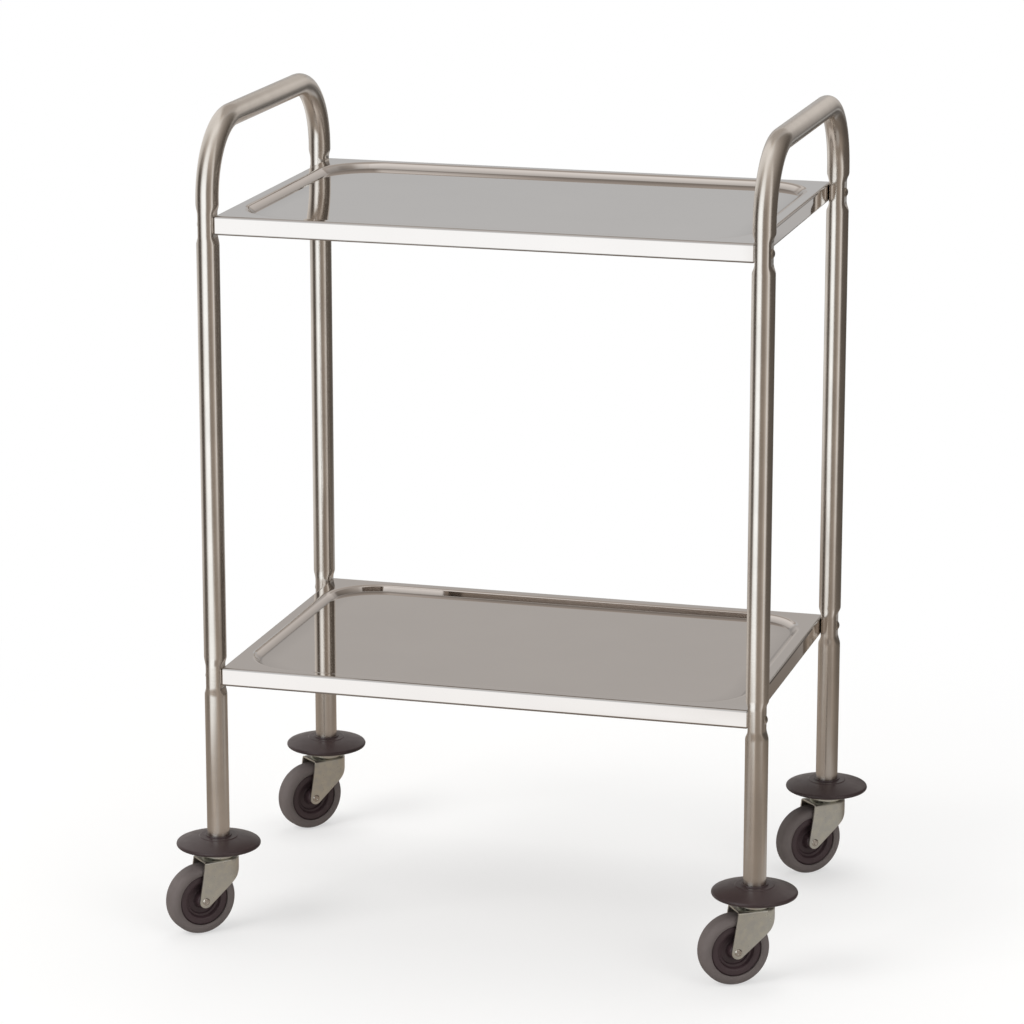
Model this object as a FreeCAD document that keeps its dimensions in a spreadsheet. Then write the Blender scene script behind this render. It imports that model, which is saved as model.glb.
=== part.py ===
import FreeCAD, Part

# Serving trolley: two bent tube side frames, two pressed trays, four swivel castors.
# Millimetres. +X right, +Y away from the front, +Z up. The origin is on the floor,
# midway between the four legs.

import math
import os

import Sketcher
from FreeCAD import Placement, Rotation, Vector

DRIVING_SIZES = (
    ("tray_length", "600", "outside length of a tray, between the side frames"),
    ("tray_width", "400", "outside width of a tray, front to rear"),
    ("handle_height", "917", "floor to the centreline of the handle bars"),
    ("handle_rise", "98", "top tray's border to the centreline of the handle bars"),
    ("leg_below_tray", "210", "cut end of the legs to the bottom tray's border"),
    ("tube_diameter", "25.4", "outside diameter of the bent tube"),
    ("tube_wall", "1.2", "wall of the bent tube"),
    ("bend_radius", "82", "centreline radius of the two bends in a side frame"),
    ("leg_inset", "6", "leg centreline inside the tray's front and rear edges"),
    ("dent_depth", "3.8", "how far the tube is pressed in at a tray"),
    ("dent_margin", "1", "flat of a dent above and below the tray's flange"),
    ("dent_runout", "11", "height over which a dent runs out to the round tube"),
    ("sheet", "1", "sheet of the trays"),
    ("flange_height", "21", "height of a tray's folded flange"),
    ("flange_lip", "8", "inward return along the bottom of the flange"),
    ("flange_corner", "1.6", "outside radius of the flange's upright corners"),
    ("flange_bend", "2.5", "outside radius of the flange's bends"),
    ("well_inset", "14.5", "edge of a tray to the line where the step's slope meets the border"),
    ("well_depth", "6.5", "border to the sunken floor"),
    ("well_slope_angle", "40", "slope of the step, in degrees from level"),
    ("well_corner", "63", "plan radius of the step's corners at the border"),
    ("well_brim", "8", "radius at the top of the step"),
    ("well_foot", "2.5", "radius at the bottom of the step"),
    ("screw_diameter", "5", "thread of the tray screws"),
    ("screw_hole", "5.5", "holes for the tray screws"),
    ("screw_head", "10.5", "diameter of the dome heads"),
    ("screw_head_height", "3", "height of the dome heads"),
    ("screw_socket", "1.6", "radius of the hexagon socket's corners"),
    ("screw_socket_depth", "1.5", "depth of the hexagon socket"),
    ("washer_diameter", "9", "washers behind the flange"),
    ("washer_thickness", "1", "thickness of the washers"),
    ("nut_flats", "8", "nuts across flats"),
    ("nut_height", "4", "height of the nuts"),
    ("screw_tail", "1.8", "thread past each nut"),
    ("wheel_diameter", "80", "outside diameter of the tyres"),
    ("tyre_width", "24", "width of a tyre"),
    ("tyre_shoulder", "8", "radius of a tyre's shoulders"),
    ("tyre_bore", "58", "diameter of the tyre's seat on the hub"),
    ("hub_rim_width", "20", "width of the hub's rim under the tyre"),
    ("hub_rim_inner", "42", "inside diameter of the hub's rim"),
    ("hub_web", "6", "thickness of the hub's web"),
    ("hub_boss", "17", "diameter of the hub's boss"),
    ("hub_draft", "1.5", "slope of the hub's pocket walls, across one wall"),
    ("rim_groove", "1.2", "groove between the hub's rim and the tyre"),
    ("sleeve_diameter", "9", "outside diameter of the axle sleeve"),
    ("axle_diameter", "6", "axle bolt"),
    ("axle_head", "8.5", "diameter of the axle bolt's dome head"),
    ("axle_head_height", "2.4", "height of the axle bolt's dome head"),
    ("axle_socket", "2.3", "radius of the axle bolt's socket corners"),
    ("axle_socket_depth", "1.6", "depth of the axle bolt's socket"),
    ("axle_nut_flats", "10", "axle nut across flats"),
    ("axle_nut_height", "5", "height of the axle nut"),
    ("axle_tail", "1.2", "thread past the axle nut"),
    ("castor_lead", "24", "swivel axis to axle"),
    ("fork_sheet", "2", "sheet of the fork"),
    ("fork_inner_width", "28", "between the fork's legs"),
    ("crown_clearance", "6", "tyre's tread to the top of the fork's crown"),
    ("fork_tip", "7.5", "radius of the fork's tips round the axle"),
    ("fork_bend", "3", "outside radius of the fork's bends"),
    ("crown_reach", "7", "swivel axis to the centre of the crown's round back"),
    ("skirt_low", "21", "axle to the low end of the rear skirt's round corner"),
    ("skirt_drop", "4", "top of the crown to the high end of that corner"),
    ("skirt_reach", "37", "axle to the front of that corner, along the trail"),
    ("ball_diameter", "4.8", "balls of the swivel race"),
    ("ball_circle", "22", "pitch diameter of the balls"),
    ("ball_count", "11", "balls in the swivel race"),
    ("race_wall", "1.4", "metal left under the fork's race"),
    ("head_diameter", "38", "upper race"),
    ("head_height", "5.8", "height of the upper race"),
    ("head_chamfer", "1.5", "chamfer at the upper race's lower edge"),
    ("race_gap", "1.2", "fork's crown to the upper race"),
    ("stem_diameter", "10", "stem that the castor swivels on"),
    ("stem_foot", "16", "diameter of the stem's riveted foot"),
    ("stem_foot_height", "2.6", "height of the stem's riveted foot"),
    ("stem_foot_gap", "0.5", "fork's crown to the stem's foot"),
    ("stem_above_bumper", "26", "stem above the cut end of the leg"),
    ("plug_length", "38", "length of the sleeve in the tube end"),
    ("plug_roof", "4", "closed top of the sleeve"),
    ("bumper_diameter", "95", "outside diameter of the bumper disc"),
    ("bumper_rim", "2.6", "radius of the bumper's rounded rim"),
    ("bumper_floor", "6", "bumper between the upper race and the cut end of the leg"),
    ("bumper_socket", "3", "cut end of the leg to the bumper's mid-plane"),
    ("bumper_seat", "39", "diameter of the bumper's flat underside"),
    ("bumper_ring", "44", "diameter of the raised ring on the bumper"),
    ("bumper_ring_step", "0.9", "height of that ring"),
    ("bumper_top", "8.2", "mid-plane to the top of the bumper at the ring"),
    ("bumper_crown", "105", "radius of the bumper's two domed faces"),
    ("bumper_lip", "29.5", "diameter of the lip round the tube"),
    ("bumper_lip_height", "10.6", "mid-plane to the top of that lip"),
    ("fit_clearance", "0.1", "between pieces that are fixed in each other, on radius"),
    ("running_clearance", "0.08", "between pieces that turn on each other, on radius"),
    ("side_clearance", "0.4", "between the hub's boss and the fork's legs"),
    ("front_left_trail_angle", "45", "front left castor: degrees from -X towards the front"),
    ("front_right_trail_angle", "34", "front right castor: degrees from -X towards the front"),
    ("rear_left_trail_angle", "48", "rear left castor: degrees from -X towards the front"),
    ("rear_right_trail_angle", "43", "rear right castor: degrees from -X towards the front"),
    ("overrun", "10", "how far a cut runs past what it cuts"),
)

NEAR = 1e-4


class Size:
    """A size that knows both its number and the spreadsheet expression that gives it."""

    def __init__(self, number, text):
        self.number = number
        self.text = text

    def __add__(self, other):
        other = as_size(other)
        return Size(self.number + other.number, "({} + {})".format(self.text, other.text))

    def __sub__(self, other):
        other = as_size(other)
        return Size(self.number - other.number, "({} - {})".format(self.text, other.text))

    def __mul__(self, other):
        other = as_size(other)
        return Size(self.number * other.number, "({} * {})".format(self.text, other.text))

    def __truediv__(self, other):
        other = as_size(other)
        return Size(self.number / other.number, "({} / {})".format(self.text, other.text))

    def __rmul__(self, other):
        return as_size(other) * self

    def __neg__(self):
        return Size(-self.number, "(0 - {})".format(self.text))


def as_size(value):
    """A plain count or share as a Size."""
    if isinstance(value, Size):
        return value
    return Size(value, repr(value))


def root(size):
    return Size(math.sqrt(size.number), "sqrt({})".format(size.text))


def sine(degrees):
    return Size(math.sin(math.radians(degrees.number)), "sin({} * 1 deg)".format(degrees.text))


def cosine(degrees):
    return Size(math.cos(math.radians(degrees.number)), "cos({} * 1 deg)".format(degrees.text))


def half_tangent(degrees):
    """Tangent of half an angle."""
    return sine(degrees) / (cosine(degrees) + 1)


class Sizes:
    """The driving sizes, read back from the spreadsheet as attributes."""

    def __init__(self, sheet):
        for alias, number, meaning in DRIVING_SIZES:
            setattr(self, alias, Size(float(sheet.get(alias)), "{}.{}".format(sheet.Name, alias)))


def fill_sheet(doc):
    """A spreadsheet with one row for each driving size: name, number, meaning."""
    sheet = doc.addObject("Spreadsheet::Sheet", "DrivingSizes")
    for row, (alias, number, meaning) in enumerate(DRIVING_SIZES, start=1):
        sheet.set("A{}".format(row), alias)
        sheet.set("B{}".format(row), number)
        sheet.set("C{}".format(row), meaning)
        sheet.setAlias("B{}".format(row), alias)
    doc.recompute()
    return sheet


doc = FreeCAD.newDocument("ServingTrolley")
size = Sizes(fill_sheet(doc))
zero = as_size(0)
parts = []


def origin_item(body, role):
    """One of a body's own origin planes or axes."""
    return [item for item in body.Origin.OriginFeatures if item.Role == role][0]


def new_body(label):
    """An empty body. Its label is also the name of its file."""
    body = doc.addObject("PartDesign::Body", label)
    body.Label = label
    return body


def bind(item, name, amount):
    """Tie one property of an object to the sheet."""
    item.setExpression(name, as_size(amount).text)


def place(item, x, y, z, rotation=Rotation()):
    """Put an object at a bound position, turned by a rotation."""
    item.Placement = Placement(Vector(x.number, y.number, z.number), rotation)
    bind(item, "Placement.Base.x", x)
    bind(item, "Placement.Base.y", y)
    bind(item, "Placement.Base.z", z)


def new_sketch(body, name, plane, height=None):
    """A sketch on one of the body's origin planes, or parallel to it at a height."""
    sketch = body.newObject("Sketcher::SketchObject", name)
    sketch.AttachmentSupport = [(origin_item(body, plane), "")]
    sketch.MapMode = "FlatFace"
    if height is not None:
        sketch.AttachmentOffset = Placement(Vector(0, 0, height.number), Rotation())
        bind(sketch, "AttachmentOffset.Base.z", height)
    return sketch


def fix_distance(sketch, kind, index, point, amount):
    """Hold one point of a sketch at a bound distance from the sketch's origin."""
    constraint = Sketcher.Constraint(kind, -1, 1, index, point, amount.number)
    number = sketch.addConstraint(constraint)
    bind(sketch, "Constraints[{}]".format(number), amount)


def arc_centre(start, end, radius):
    """Centre of the shorter arc from start to end, left of the chord if the radius is positive."""
    chord = end - start
    half = chord.Length / 2
    side = Vector(-chord.y, chord.x, 0) / chord.Length
    rise = math.sqrt(max(radius * radius - half * half, 0))
    return (start + end) / 2 + side * math.copysign(rise, radius)


def add_outline(sketch, corners, closed=True):
    """Lines and arcs through the corners.

    A corner is (u, v), or (u, v, radius) where the run to the next corner is an arc. The arc's
    centre lies left of its chord for a positive radius and right of it for a negative one.
    """
    count = len(corners) if closed else len(corners) - 1
    points = [Vector(corner[0].number, corner[1].number, 0) for corner in corners]
    runs = []
    for step in range(count):
        start = points[step]
        end = points[(step + 1) % len(points)]
        if len(corners[step]) == 2:
            index = sketch.addGeometry(Part.LineSegment(start, end), False)
            runs.append((index, 1, 2))
            continue
        radius = corners[step][2].number
        centre = arc_centre(start, end, radius)
        circle = Part.Circle(centre, Vector(0, 0, 1), abs(radius))
        from_angle = math.atan2(start.y - centre.y, start.x - centre.x)
        to_angle = math.atan2(end.y - centre.y, end.x - centre.x)
        if radius > 0:
            index = sketch.addGeometry(Part.ArcOfCircle(circle, from_angle, to_angle), False)
            runs.append((index, 1, 2))
        else:
            index = sketch.addGeometry(Part.ArcOfCircle(circle, to_angle, from_angle), False)
            runs.append((index, 2, 1))
    for step, (index, start_point, end_point) in enumerate(runs):
        fix_distance(sketch, "DistanceX", index, start_point, corners[step][0])
        fix_distance(sketch, "DistanceY", index, start_point, corners[step][1])
        if step + 1 < len(runs) or closed:
            following = runs[(step + 1) % len(runs)]
            sketch.addConstraint(
                Sketcher.Constraint("Coincident", index, end_point, following[0], following[1]))
        else:
            fix_distance(sketch, "DistanceX", index, end_point, corners[-1][0])
            fix_distance(sketch, "DistanceY", index, end_point, corners[-1][1])
        if len(corners[step]) == 3:
            radius = corners[step][2]
            radius = radius if radius.number > 0 else -radius
            number = sketch.addConstraint(Sketcher.Constraint("Radius", index, radius.number))
            bind(sketch, "Constraints[{}]".format(number), radius)


def add_circle(sketch, u, v, radius):
    """A circle held by its centre and radius."""
    centre = Vector(u.number, v.number, 0)
    index = sketch.addGeometry(Part.Circle(centre, Vector(0, 0, 1), radius.number), False)
    fix_distance(sketch, "DistanceX", index, 3, u)
    fix_distance(sketch, "DistanceY", index, 3, v)
    number = sketch.addConstraint(Sketcher.Constraint("Radius", index, radius.number))
    bind(sketch, "Constraints[{}]".format(number), radius)


def rectangle(half_u, half_v):
    """Corners of a rectangle about the sketch's origin."""
    return [(-half_u, -half_v), (half_u, -half_v), (half_u, half_v), (-half_u, half_v)]


def rounded_rectangle(half_u, half_v, radius):
    """Corners of a rectangle about the origin whose corners are quarter circles."""
    return [
        (radius - half_u, -half_v), (half_u - radius, -half_v, radius),
        (half_u, radius - half_v), (half_u, half_v - radius, radius),
        (half_u - radius, half_v), (radius - half_u, half_v, radius),
        (-half_u, half_v - radius), (-half_u, radius - half_v, radius),
    ]


def hexagon(flats):
    """Corners of a hexagon about the origin, from its size across flats."""
    half_share = 0.5
    corner = flats / root(as_size(3))
    flat = flats * half_share
    return [(corner, zero), (corner * half_share, flat), (-corner * half_share, flat),
            (-corner, zero), (-corner * half_share, -flat), (corner * half_share, -flat)]


def pad(body, name, sketch, length, downwards=False):
    """Material along the sketch's normal, or against it."""
    feature = body.newObject("PartDesign::Pad", name)
    feature.Profile = sketch
    bind(feature, "Length", length)
    feature.Reversed = downwards
    return feature


def pocket(body, name, sketch, length, upwards=False, slope=None):
    """A cut against the sketch's normal, or along it, that has to remove material.

    With a slope, in degrees from level, its sides close in with depth.
    """
    doc.recompute()
    before = body.Shape.Volume
    feature = body.newObject("PartDesign::Pocket", name)
    feature.Profile = sketch
    bind(feature, "Length", length)
    feature.Reversed = upwards
    if slope is not None:
        upright_angle = 90
        bind(feature, "TaperAngle", slope - upright_angle)
    doc.recompute()
    if body.Shape.Volume >= before:
        raise RuntimeError("{} cuts nothing".format(name))
    return feature


def cut_both_ways(body, name, sketch, length):
    """A cut of the given length, half of it on each side of the sketch."""
    doc.recompute()
    before = body.Shape.Volume
    feature = body.newObject("PartDesign::Pocket", name)
    feature.Profile = sketch
    feature.SideType = "Symmetric"
    bind(feature, "Length", length)
    doc.recompute()
    if body.Shape.Volume >= before:
        raise RuntimeError("{} cuts nothing".format(name))
    return feature


def turn(body, name, sketch, groove=False):
    """A full revolution about the sketch's upright axis, as material or as a cut."""
    kind = "PartDesign::Groove" if groove else "PartDesign::Revolution"
    doc.recompute()
    before = body.Shape.Volume if groove else 0
    feature = body.newObject(kind, name)
    feature.Profile = sketch
    feature.ReferenceAxis = (sketch, ["V_Axis"])
    feature.Angle = 360
    doc.recompute()
    if groove and body.Shape.Volume >= before:
        raise RuntimeError("{} cuts nothing".format(name))
    return feature


def turned_body(label, corners):
    """A body turned about its own Z axis from a half section of (radius, height) corners."""
    body = new_body(label)
    sketch = new_sketch(body, label + "_section", "XZ_Plane")
    add_outline(sketch, corners)
    turn(body, label + "_turned", sketch)
    return body


def round_edges(body, name, base, radius, wanted):
    """A fillet on the edges of the last feature for which wanted(edge) is true."""
    doc.recompute()
    names = ["Edge{}".format(number)
             for number, edge in enumerate(base.Shape.Edges, start=1) if wanted(edge)]
    if not names:
        raise RuntimeError("{} finds no edge".format(name))
    feature = body.newObject("PartDesign::Fillet", name)
    feature.Base = (base, names)
    bind(feature, "Radius", radius)
    doc.recompute()
    return feature


def level_at(height):
    """True for an edge that lies level at the given height."""
    def wanted(edge):
        box = edge.BoundBox
        return abs(box.ZMin - height.number) < NEAR and abs(box.ZMax - height.number) < NEAR
    return wanted


def upright(edge):
    """True for an edge that stands straight up."""
    box = edge.BoundBox
    return box.ZLength > NEAR and box.XLength < NEAR and box.YLength < NEAR


leg_x = size.tray_length / 2 + size.fit_clearance + size.tube_diameter / 2 - size.dent_depth
leg_y = size.tray_width / 2 - size.leg_inset
tube_radius = size.tube_diameter / 2
wheel_radius = size.wheel_diameter / 2
fork_height = wheel_radius + size.crown_clearance
crown_height = wheel_radius + fork_height
race_top = crown_height + size.race_gap + size.head_height
tube_end_height = race_top + size.bumper_floor
bumper_centre = tube_end_height + size.bumper_socket
top_tray_height = size.handle_height - size.handle_rise
bottom_tray_height = tube_end_height + size.leg_below_tray


def dent_outline(surface, side, height):
    """Cut that leaves a flat of the flange's height and runs out to the round tube.

    The runout is two equal arcs that meet halfway, the first tangent to the flat and the
    second tangent to the tube's side.
    """
    flat = size.flange_height / 2 + size.dent_margin
    end = flat + size.dent_runout
    middle = flat + size.dent_runout / 2
    run = (size.dent_runout * size.dent_runout + size.dent_depth * size.dent_depth)
    arc = run / (size.dent_depth * 4)
    deep = (surface - size.dent_depth) * side
    half = (surface - size.dent_depth / 2) * side
    edge = surface * side
    outside = (surface + size.overrun) * side
    return [
        (edge, height + end, arc * side * -1), (half, height + middle, arc * side),
        (deep, height + flat), (deep, height - flat, arc * side),
        (half, height - middle, arc * side * -1), (edge, height - end),
        (outside, height - end), (outside, height + end),
    ]


def bent_rod(label, radius):
    """A rod of the side frame's shape: up, over and down, pressed in at both trays."""
    body = new_body(label)
    path = new_sketch(body, label + "_path", "YZ_Plane")
    shoulder = size.handle_height - size.bend_radius
    inner = leg_y - size.bend_radius
    add_outline(path, [
        (-leg_y, tube_end_height), (-leg_y, shoulder, -size.bend_radius),
        (-inner, size.handle_height), (inner, size.handle_height, -size.bend_radius),
        (leg_y, shoulder), (leg_y, tube_end_height)], closed=False)
    section = new_sketch(body, label + "_section", "XY_Plane", tube_end_height)
    add_circle(section, zero, -leg_y, radius)
    doc.recompute()
    pipe = body.newObject("PartDesign::AdditivePipe", label + "_pipe")
    pipe.Profile = section
    pipe.Spine = (path, ["Edge{}".format(number) for number in range(1, 6)])
    dents = new_sketch(body, label + "_dents", "XZ_Plane")
    for height in (top_tray_height, bottom_tray_height):
        for side in (1, -1):
            add_outline(dents, dent_outline(radius, side, height - size.flange_height / 2))
    cut_both_ways(body, label + "_dent_cut", dents, size.tray_width + size.overrun * 2)
    return body


def screw_holes(label, length, heights):
    """Rods along X through the legs, front and rear, at each of the heights."""
    rods = []
    for number, height in enumerate(heights):
        for side in (-1, 1):
            rod = doc.addObject("Part::Cylinder", "{}_rod_{}_{}".format(label, number, side + 1))
            bind(rod, "Radius", size.screw_hole / 2)
            bind(rod, "Height", length)
            place(rod, length * -0.5, leg_y * side, height, Rotation(Vector(0, 1, 0), 90))
            rods.append(rod)
    group = doc.addObject("Part::Compound", label + "_rods")
    group.Links = rods
    return group


def cut_part(label, base, tools):
    """The base less each tool in turn. The last cut is the sub-part."""
    for number, tool in enumerate(tools):
        last = number + 1 == len(tools)
        cut = doc.addObject("Part::Cut", label if last else "{}_cut_{}".format(label, number))
        cut.Base = base
        cut.Tool = tool
        base = cut
    base.Label = label
    parts.append(base)
    return base


def build_side_frames():
    """Two bent tubes, with holes through both walls for the tray screws."""
    middle = size.flange_height / 2
    heights = (top_tray_height - middle, bottom_tray_height - middle)
    for side, name in ((-1, "left"), (1, "right")):
        label = name + "_side_frame"
        outer = bent_rod(label + "_outside", tube_radius)
        bore = bent_rod(label + "_bore", tube_radius - size.tube_wall)
        holes = screw_holes(label, size.tube_diameter + size.overrun * 2, heights)
        frame = cut_part(label, outer, [bore, holes])
        place(frame, leg_x * side, zero, zero)


def tray_form(label, inset):
    """The solid between a tray's top and the floor of its flange, shrunk by an inset.

    With no inset it is the tray's outside. With an inset of the sheet it is the hollow under
    the tray. Convex radii shrink by the inset and hollow radii grow by it, and the step's slope
    moves by the inset along its own normal.
    """
    body = new_body(label)
    half_x = size.tray_length / 2 - inset
    half_y = size.tray_width / 2 - inset
    top = -inset
    bottom = inset - size.flange_height
    plan = new_sketch(body, label + "_plan", "XY_Plane", top)
    add_outline(plan, rectangle(half_x, half_y))
    block = pad(body, label + "_block", plan, top - bottom, downwards=True)
    corners = round_edges(body, label + "_corners", block, size.flange_corner - inset, upright)
    bend = size.flange_bend - inset
    rims = round_edges(body, label + "_bends", corners, bend,
                       lambda edge: level_at(top)(edge) or level_at(bottom)(edge))
    well = new_sketch(body, label + "_well_plan", "XY_Plane", top)
    shift = inset * half_tangent(size.well_slope_angle)
    reach = size.well_inset - inset - shift
    add_outline(well, rounded_rectangle(half_x - reach, half_y - reach,
                                        size.well_corner + shift))
    hollow = pocket(body, label + "_well", well, size.well_depth, slope=size.well_slope_angle)
    inside = half_x.number - reach.number / 2
    sunk = top - size.well_depth

    def well_rim(edge):
        return level_at(top)(edge) and abs(edge.BoundBox.XMax) < inside

    def well_floor(edge):
        return level_at(sunk)(edge) and abs(edge.BoundBox.XMax) < inside

    brim = round_edges(body, label + "_well_brim", hollow, size.well_brim - inset, well_rim)
    round_edges(body, label + "_well_foot", brim, size.well_foot + inset, well_floor)
    return body


def build_tray(label, height):
    """One pressed tray: outside form less the hollow under it, open between the flange lips."""
    outside = tray_form(label + "_outside", zero)
    hollow = tray_form(label + "_hollow", size.sheet)
    mouth = new_body(label + "_mouth")
    plan = new_sketch(mouth, label + "_mouth_plan", "XY_Plane", -size.flange_height - size.overrun)
    add_outline(plan, rectangle(size.tray_length / 2 - size.flange_lip,
                                size.tray_width / 2 - size.flange_lip))
    pad(mouth, label + "_mouth_block", plan, size.overrun + size.sheet * 2)
    holes = screw_holes(label, size.tray_length + size.overrun * 2,
                        (-size.flange_height / 2,))
    tray = cut_part(label, outside, [hollow, mouth, holes])
    place(tray, zero, zero, height)


def corner_sketch(body, name, fastener_start):
    """A sketch square to X at one tray corner, for what is bolted through a leg there."""
    return new_sketch(body, name, "YZ_Plane", fastener_start)


def repeat_at_corners(body, height):
    """The solid at the tray's right rear corner, mirrored to the other three corners."""
    for name, plane in (("to_left", "YZ_Plane"), ("to_front", "XZ_Plane")):
        doc.recompute()
        mirror = body.newObject("PartDesign::Mirrored", "{}_{}".format(body.Name, name))
        mirror.TransformMode = "Whole shape"
        mirror.MirrorPlane = (origin_item(body, plane), [""])
        body.Tip = mirror
    doc.recompute()
    place(body, zero, zero, height)
    parts.append(body)


def dome_radius(edge_radius, rise):
    """Radius of the arc that rises from the edge of a round head to its middle."""
    return (edge_radius * edge_radius + rise * rise) / (rise * 2)


def tray_screws(label, height):
    """Four dome-head screws with hexagon sockets, from the outer dents to the nuts."""
    body = new_body(label)
    seat = leg_x + tube_radius - size.dent_depth
    rim_share = 0.2
    rim = size.screw_head_height * rim_share
    top = seat + size.screw_head_height
    tip = (size.tray_length / 2 - size.sheet - size.washer_thickness - size.nut_height
           - size.screw_tail)
    head = size.screw_head / 2
    shank = size.screw_diameter / 2
    section = new_sketch(body, label + "_section", "XY_Plane")
    add_outline(section, [
        (tip, leg_y), (top, leg_y, dome_radius(head, size.screw_head_height - rim)),
        (seat + rim, leg_y + head), (seat, leg_y + head), (seat, leg_y + shank),
        (tip, leg_y + shank)])
    axis = section.addGeometry(
        Part.LineSegment(Vector(tip.number, leg_y.number, 0), Vector(top.number, leg_y.number, 0)),
        True)
    for point, reach in ((1, tip), (2, top)):
        fix_distance(section, "DistanceX", axis, point, reach)
        fix_distance(section, "DistanceY", axis, point, leg_y)
    doc.recompute()
    screw = body.newObject("PartDesign::Revolution", label + "_turned")
    screw.Profile = section
    screw.ReferenceAxis = (section, ["Axis0"])
    screw.Angle = 360
    socket = corner_sketch(body, label + "_socket", top)
    add_outline(socket, moved(hexagon(size.screw_socket * root(as_size(3))), leg_y, zero))
    pocket(body, label + "_socket_cut", socket, size.screw_socket_depth)
    repeat_at_corners(body, height)


def moved(corners, u, v):
    """An outline's corners, shifted."""
    return [(corner[0] + u, corner[1] + v) + tuple(corner[2:]) for corner in corners]


def tray_washers(label, height):
    """Four washers against the inside of the tray's end flanges."""
    body = new_body(label)
    plan = corner_sketch(body, label + "_plan",
                         size.tray_length / 2 - size.sheet - size.washer_thickness)
    add_circle(plan, leg_y, zero, size.washer_diameter / 2)
    add_circle(plan, leg_y, zero, size.screw_hole / 2)
    pad(body, label + "_disc", plan, size.washer_thickness)
    repeat_at_corners(body, height)


def tray_nuts(label, height):
    """Four hexagon nuts against the washers."""
    body = new_body(label)
    start = size.tray_length / 2 - size.sheet - size.washer_thickness - size.nut_height
    plan = corner_sketch(body, label + "_plan", start)
    add_outline(plan, moved(hexagon(size.nut_flats), leg_y, zero))
    add_circle(plan, leg_y, zero, size.screw_diameter / 2 + size.fit_clearance)
    pad(body, label + "_hexagon", plan, size.nut_height)
    repeat_at_corners(body, height)


def build_tray_fasteners(tray, height):
    """Screws, washers and nuts for one tray, at the middle of its flange."""
    middle = height - size.flange_height / 2
    tray_screws(tray + "_screws", middle)
    tray_washers(tray + "_washers", middle)
    tray_nuts(tray + "_nuts", middle)


def tube_plug(label, x, y):
    """Closed sleeve that fills the end of a leg round the stem."""
    stem_bore = size.stem_diameter / 2 + size.fit_clearance
    outside = tube_radius - size.tube_wall - size.fit_clearance
    roof = size.plug_length - size.plug_roof
    body = turned_body(label, [
        (stem_bore, zero), (outside, zero), (outside, size.plug_length),
        (zero, size.plug_length), (zero, roof), (stem_bore, roof)])
    place(body, x, y, tube_end_height)
    parts.append(body)


def stem(label, x, y):
    """Swivel pin with a riveted foot under the fork's crown."""
    radius = size.stem_diameter / 2
    foot = size.stem_foot / 2
    foot_top = crown_height - size.fork_sheet - size.stem_foot_gap
    foot_bottom = foot_top - size.stem_foot_height
    top = tube_end_height + size.stem_above_bumper
    bevel_share = 0.35
    bevel = size.stem_foot_height * bevel_share
    body = turned_body(label, [
        (zero, foot_bottom), (foot - bevel, foot_bottom), (foot, foot_bottom + bevel),
        (foot, foot_top), (radius, foot_top), (radius, top - bevel), (radius - bevel, top),
        (zero, top)])
    place(body, x, y, zero)
    parts.append(body)


def bumper_disc(label, x, y):
    """Rubber disc with two domed faces, a round rim and a socket for the end of the leg."""
    bore = size.stem_diameter / 2 + size.fit_clearance
    socket = tube_radius + size.fit_clearance
    seat = size.bumper_seat / 2
    bottom = -size.bumper_socket - size.bumper_floor
    floor = -size.bumper_socket
    edge = size.bumper_diameter / 2
    rim_centre = edge - size.bumper_rim
    lean_share = 0.35
    lean = size.bumper_rim * lean_share
    rise = root(size.bumper_rim * size.bumper_rim - lean * lean)
    ring = size.bumper_ring / 2
    ring_top = size.bumper_top + size.bumper_ring_step
    lip = size.bumper_lip / 2
    body = turned_body(label, [
        (bore, bottom), (seat, bottom, size.bumper_crown),
        (rim_centre + lean, -rise, size.bumper_rim), (edge, zero, size.bumper_rim),
        (rim_centre + lean, rise, size.bumper_crown), (ring, size.bumper_top),
        (ring - size.bumper_ring_step, ring_top), (lip, ring_top),
        (lip, size.bumper_lip_height), (socket, size.bumper_lip_height),
        (socket, floor), (bore, floor)])
    place(body, x, y, bumper_centre)
    parts.append(body)


def swivel_head(label, x, y):
    """Upper race, fixed under the bumper, with the balls' groove in its underside."""
    bore = size.stem_diameter / 2 + size.fit_clearance
    outside = size.head_diameter / 2
    pitch = size.ball_circle / 2
    groove = size.ball_diameter / 2 + size.running_clearance
    half_gap = size.race_gap / 2
    reach = root(groove * groove - half_gap * half_gap)
    body = turned_body(label, [
        (bore, zero), (pitch - reach, zero, -groove), (pitch + reach, zero),
        (outside - size.head_chamfer, zero), (outside, size.head_chamfer),
        (outside, size.head_height), (bore, size.head_height)])
    place(body, x, y, crown_height + size.race_gap)
    parts.append(body)


def race_balls(label, x, y, heading):
    """The balls between the fork's crown and the upper race, evenly spaced."""
    body = new_body(label)
    radius = size.ball_diameter / 2
    section = new_sketch(body, label + "_section", "XZ_Plane")
    pitch = size.ball_circle / 2
    add_outline(section, [
        (pitch, -radius, radius), (pitch + radius, zero, radius), (pitch, radius)])
    axis = section.addGeometry(
        Part.LineSegment(Vector(pitch.number, -radius.number, 0),
                         Vector(pitch.number, radius.number, 0)), True)
    for point, reach in ((1, -radius), (2, radius)):
        fix_distance(section, "DistanceX", axis, point, pitch)
        fix_distance(section, "DistanceY", axis, point, reach)
    doc.recompute()
    ball = body.newObject("PartDesign::Revolution", label + "_ball")
    ball.Profile = section
    ball.ReferenceAxis = (section, ["Axis0"])
    ball.Angle = 360
    doc.recompute()
    ring = body.newObject("PartDesign::PolarPattern", label + "_ring")
    ring.Originals = [ball]
    ring.Axis = (origin_item(body, "Z_Axis"), [""])
    ring.Angle = 360
    bind(ring, "Occurrences", size.ball_count)
    body.Tip = ring
    doc.recompute()
    place(body, x, y, crown_height + size.race_gap / 2, heading)
    parts.append(body)


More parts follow.
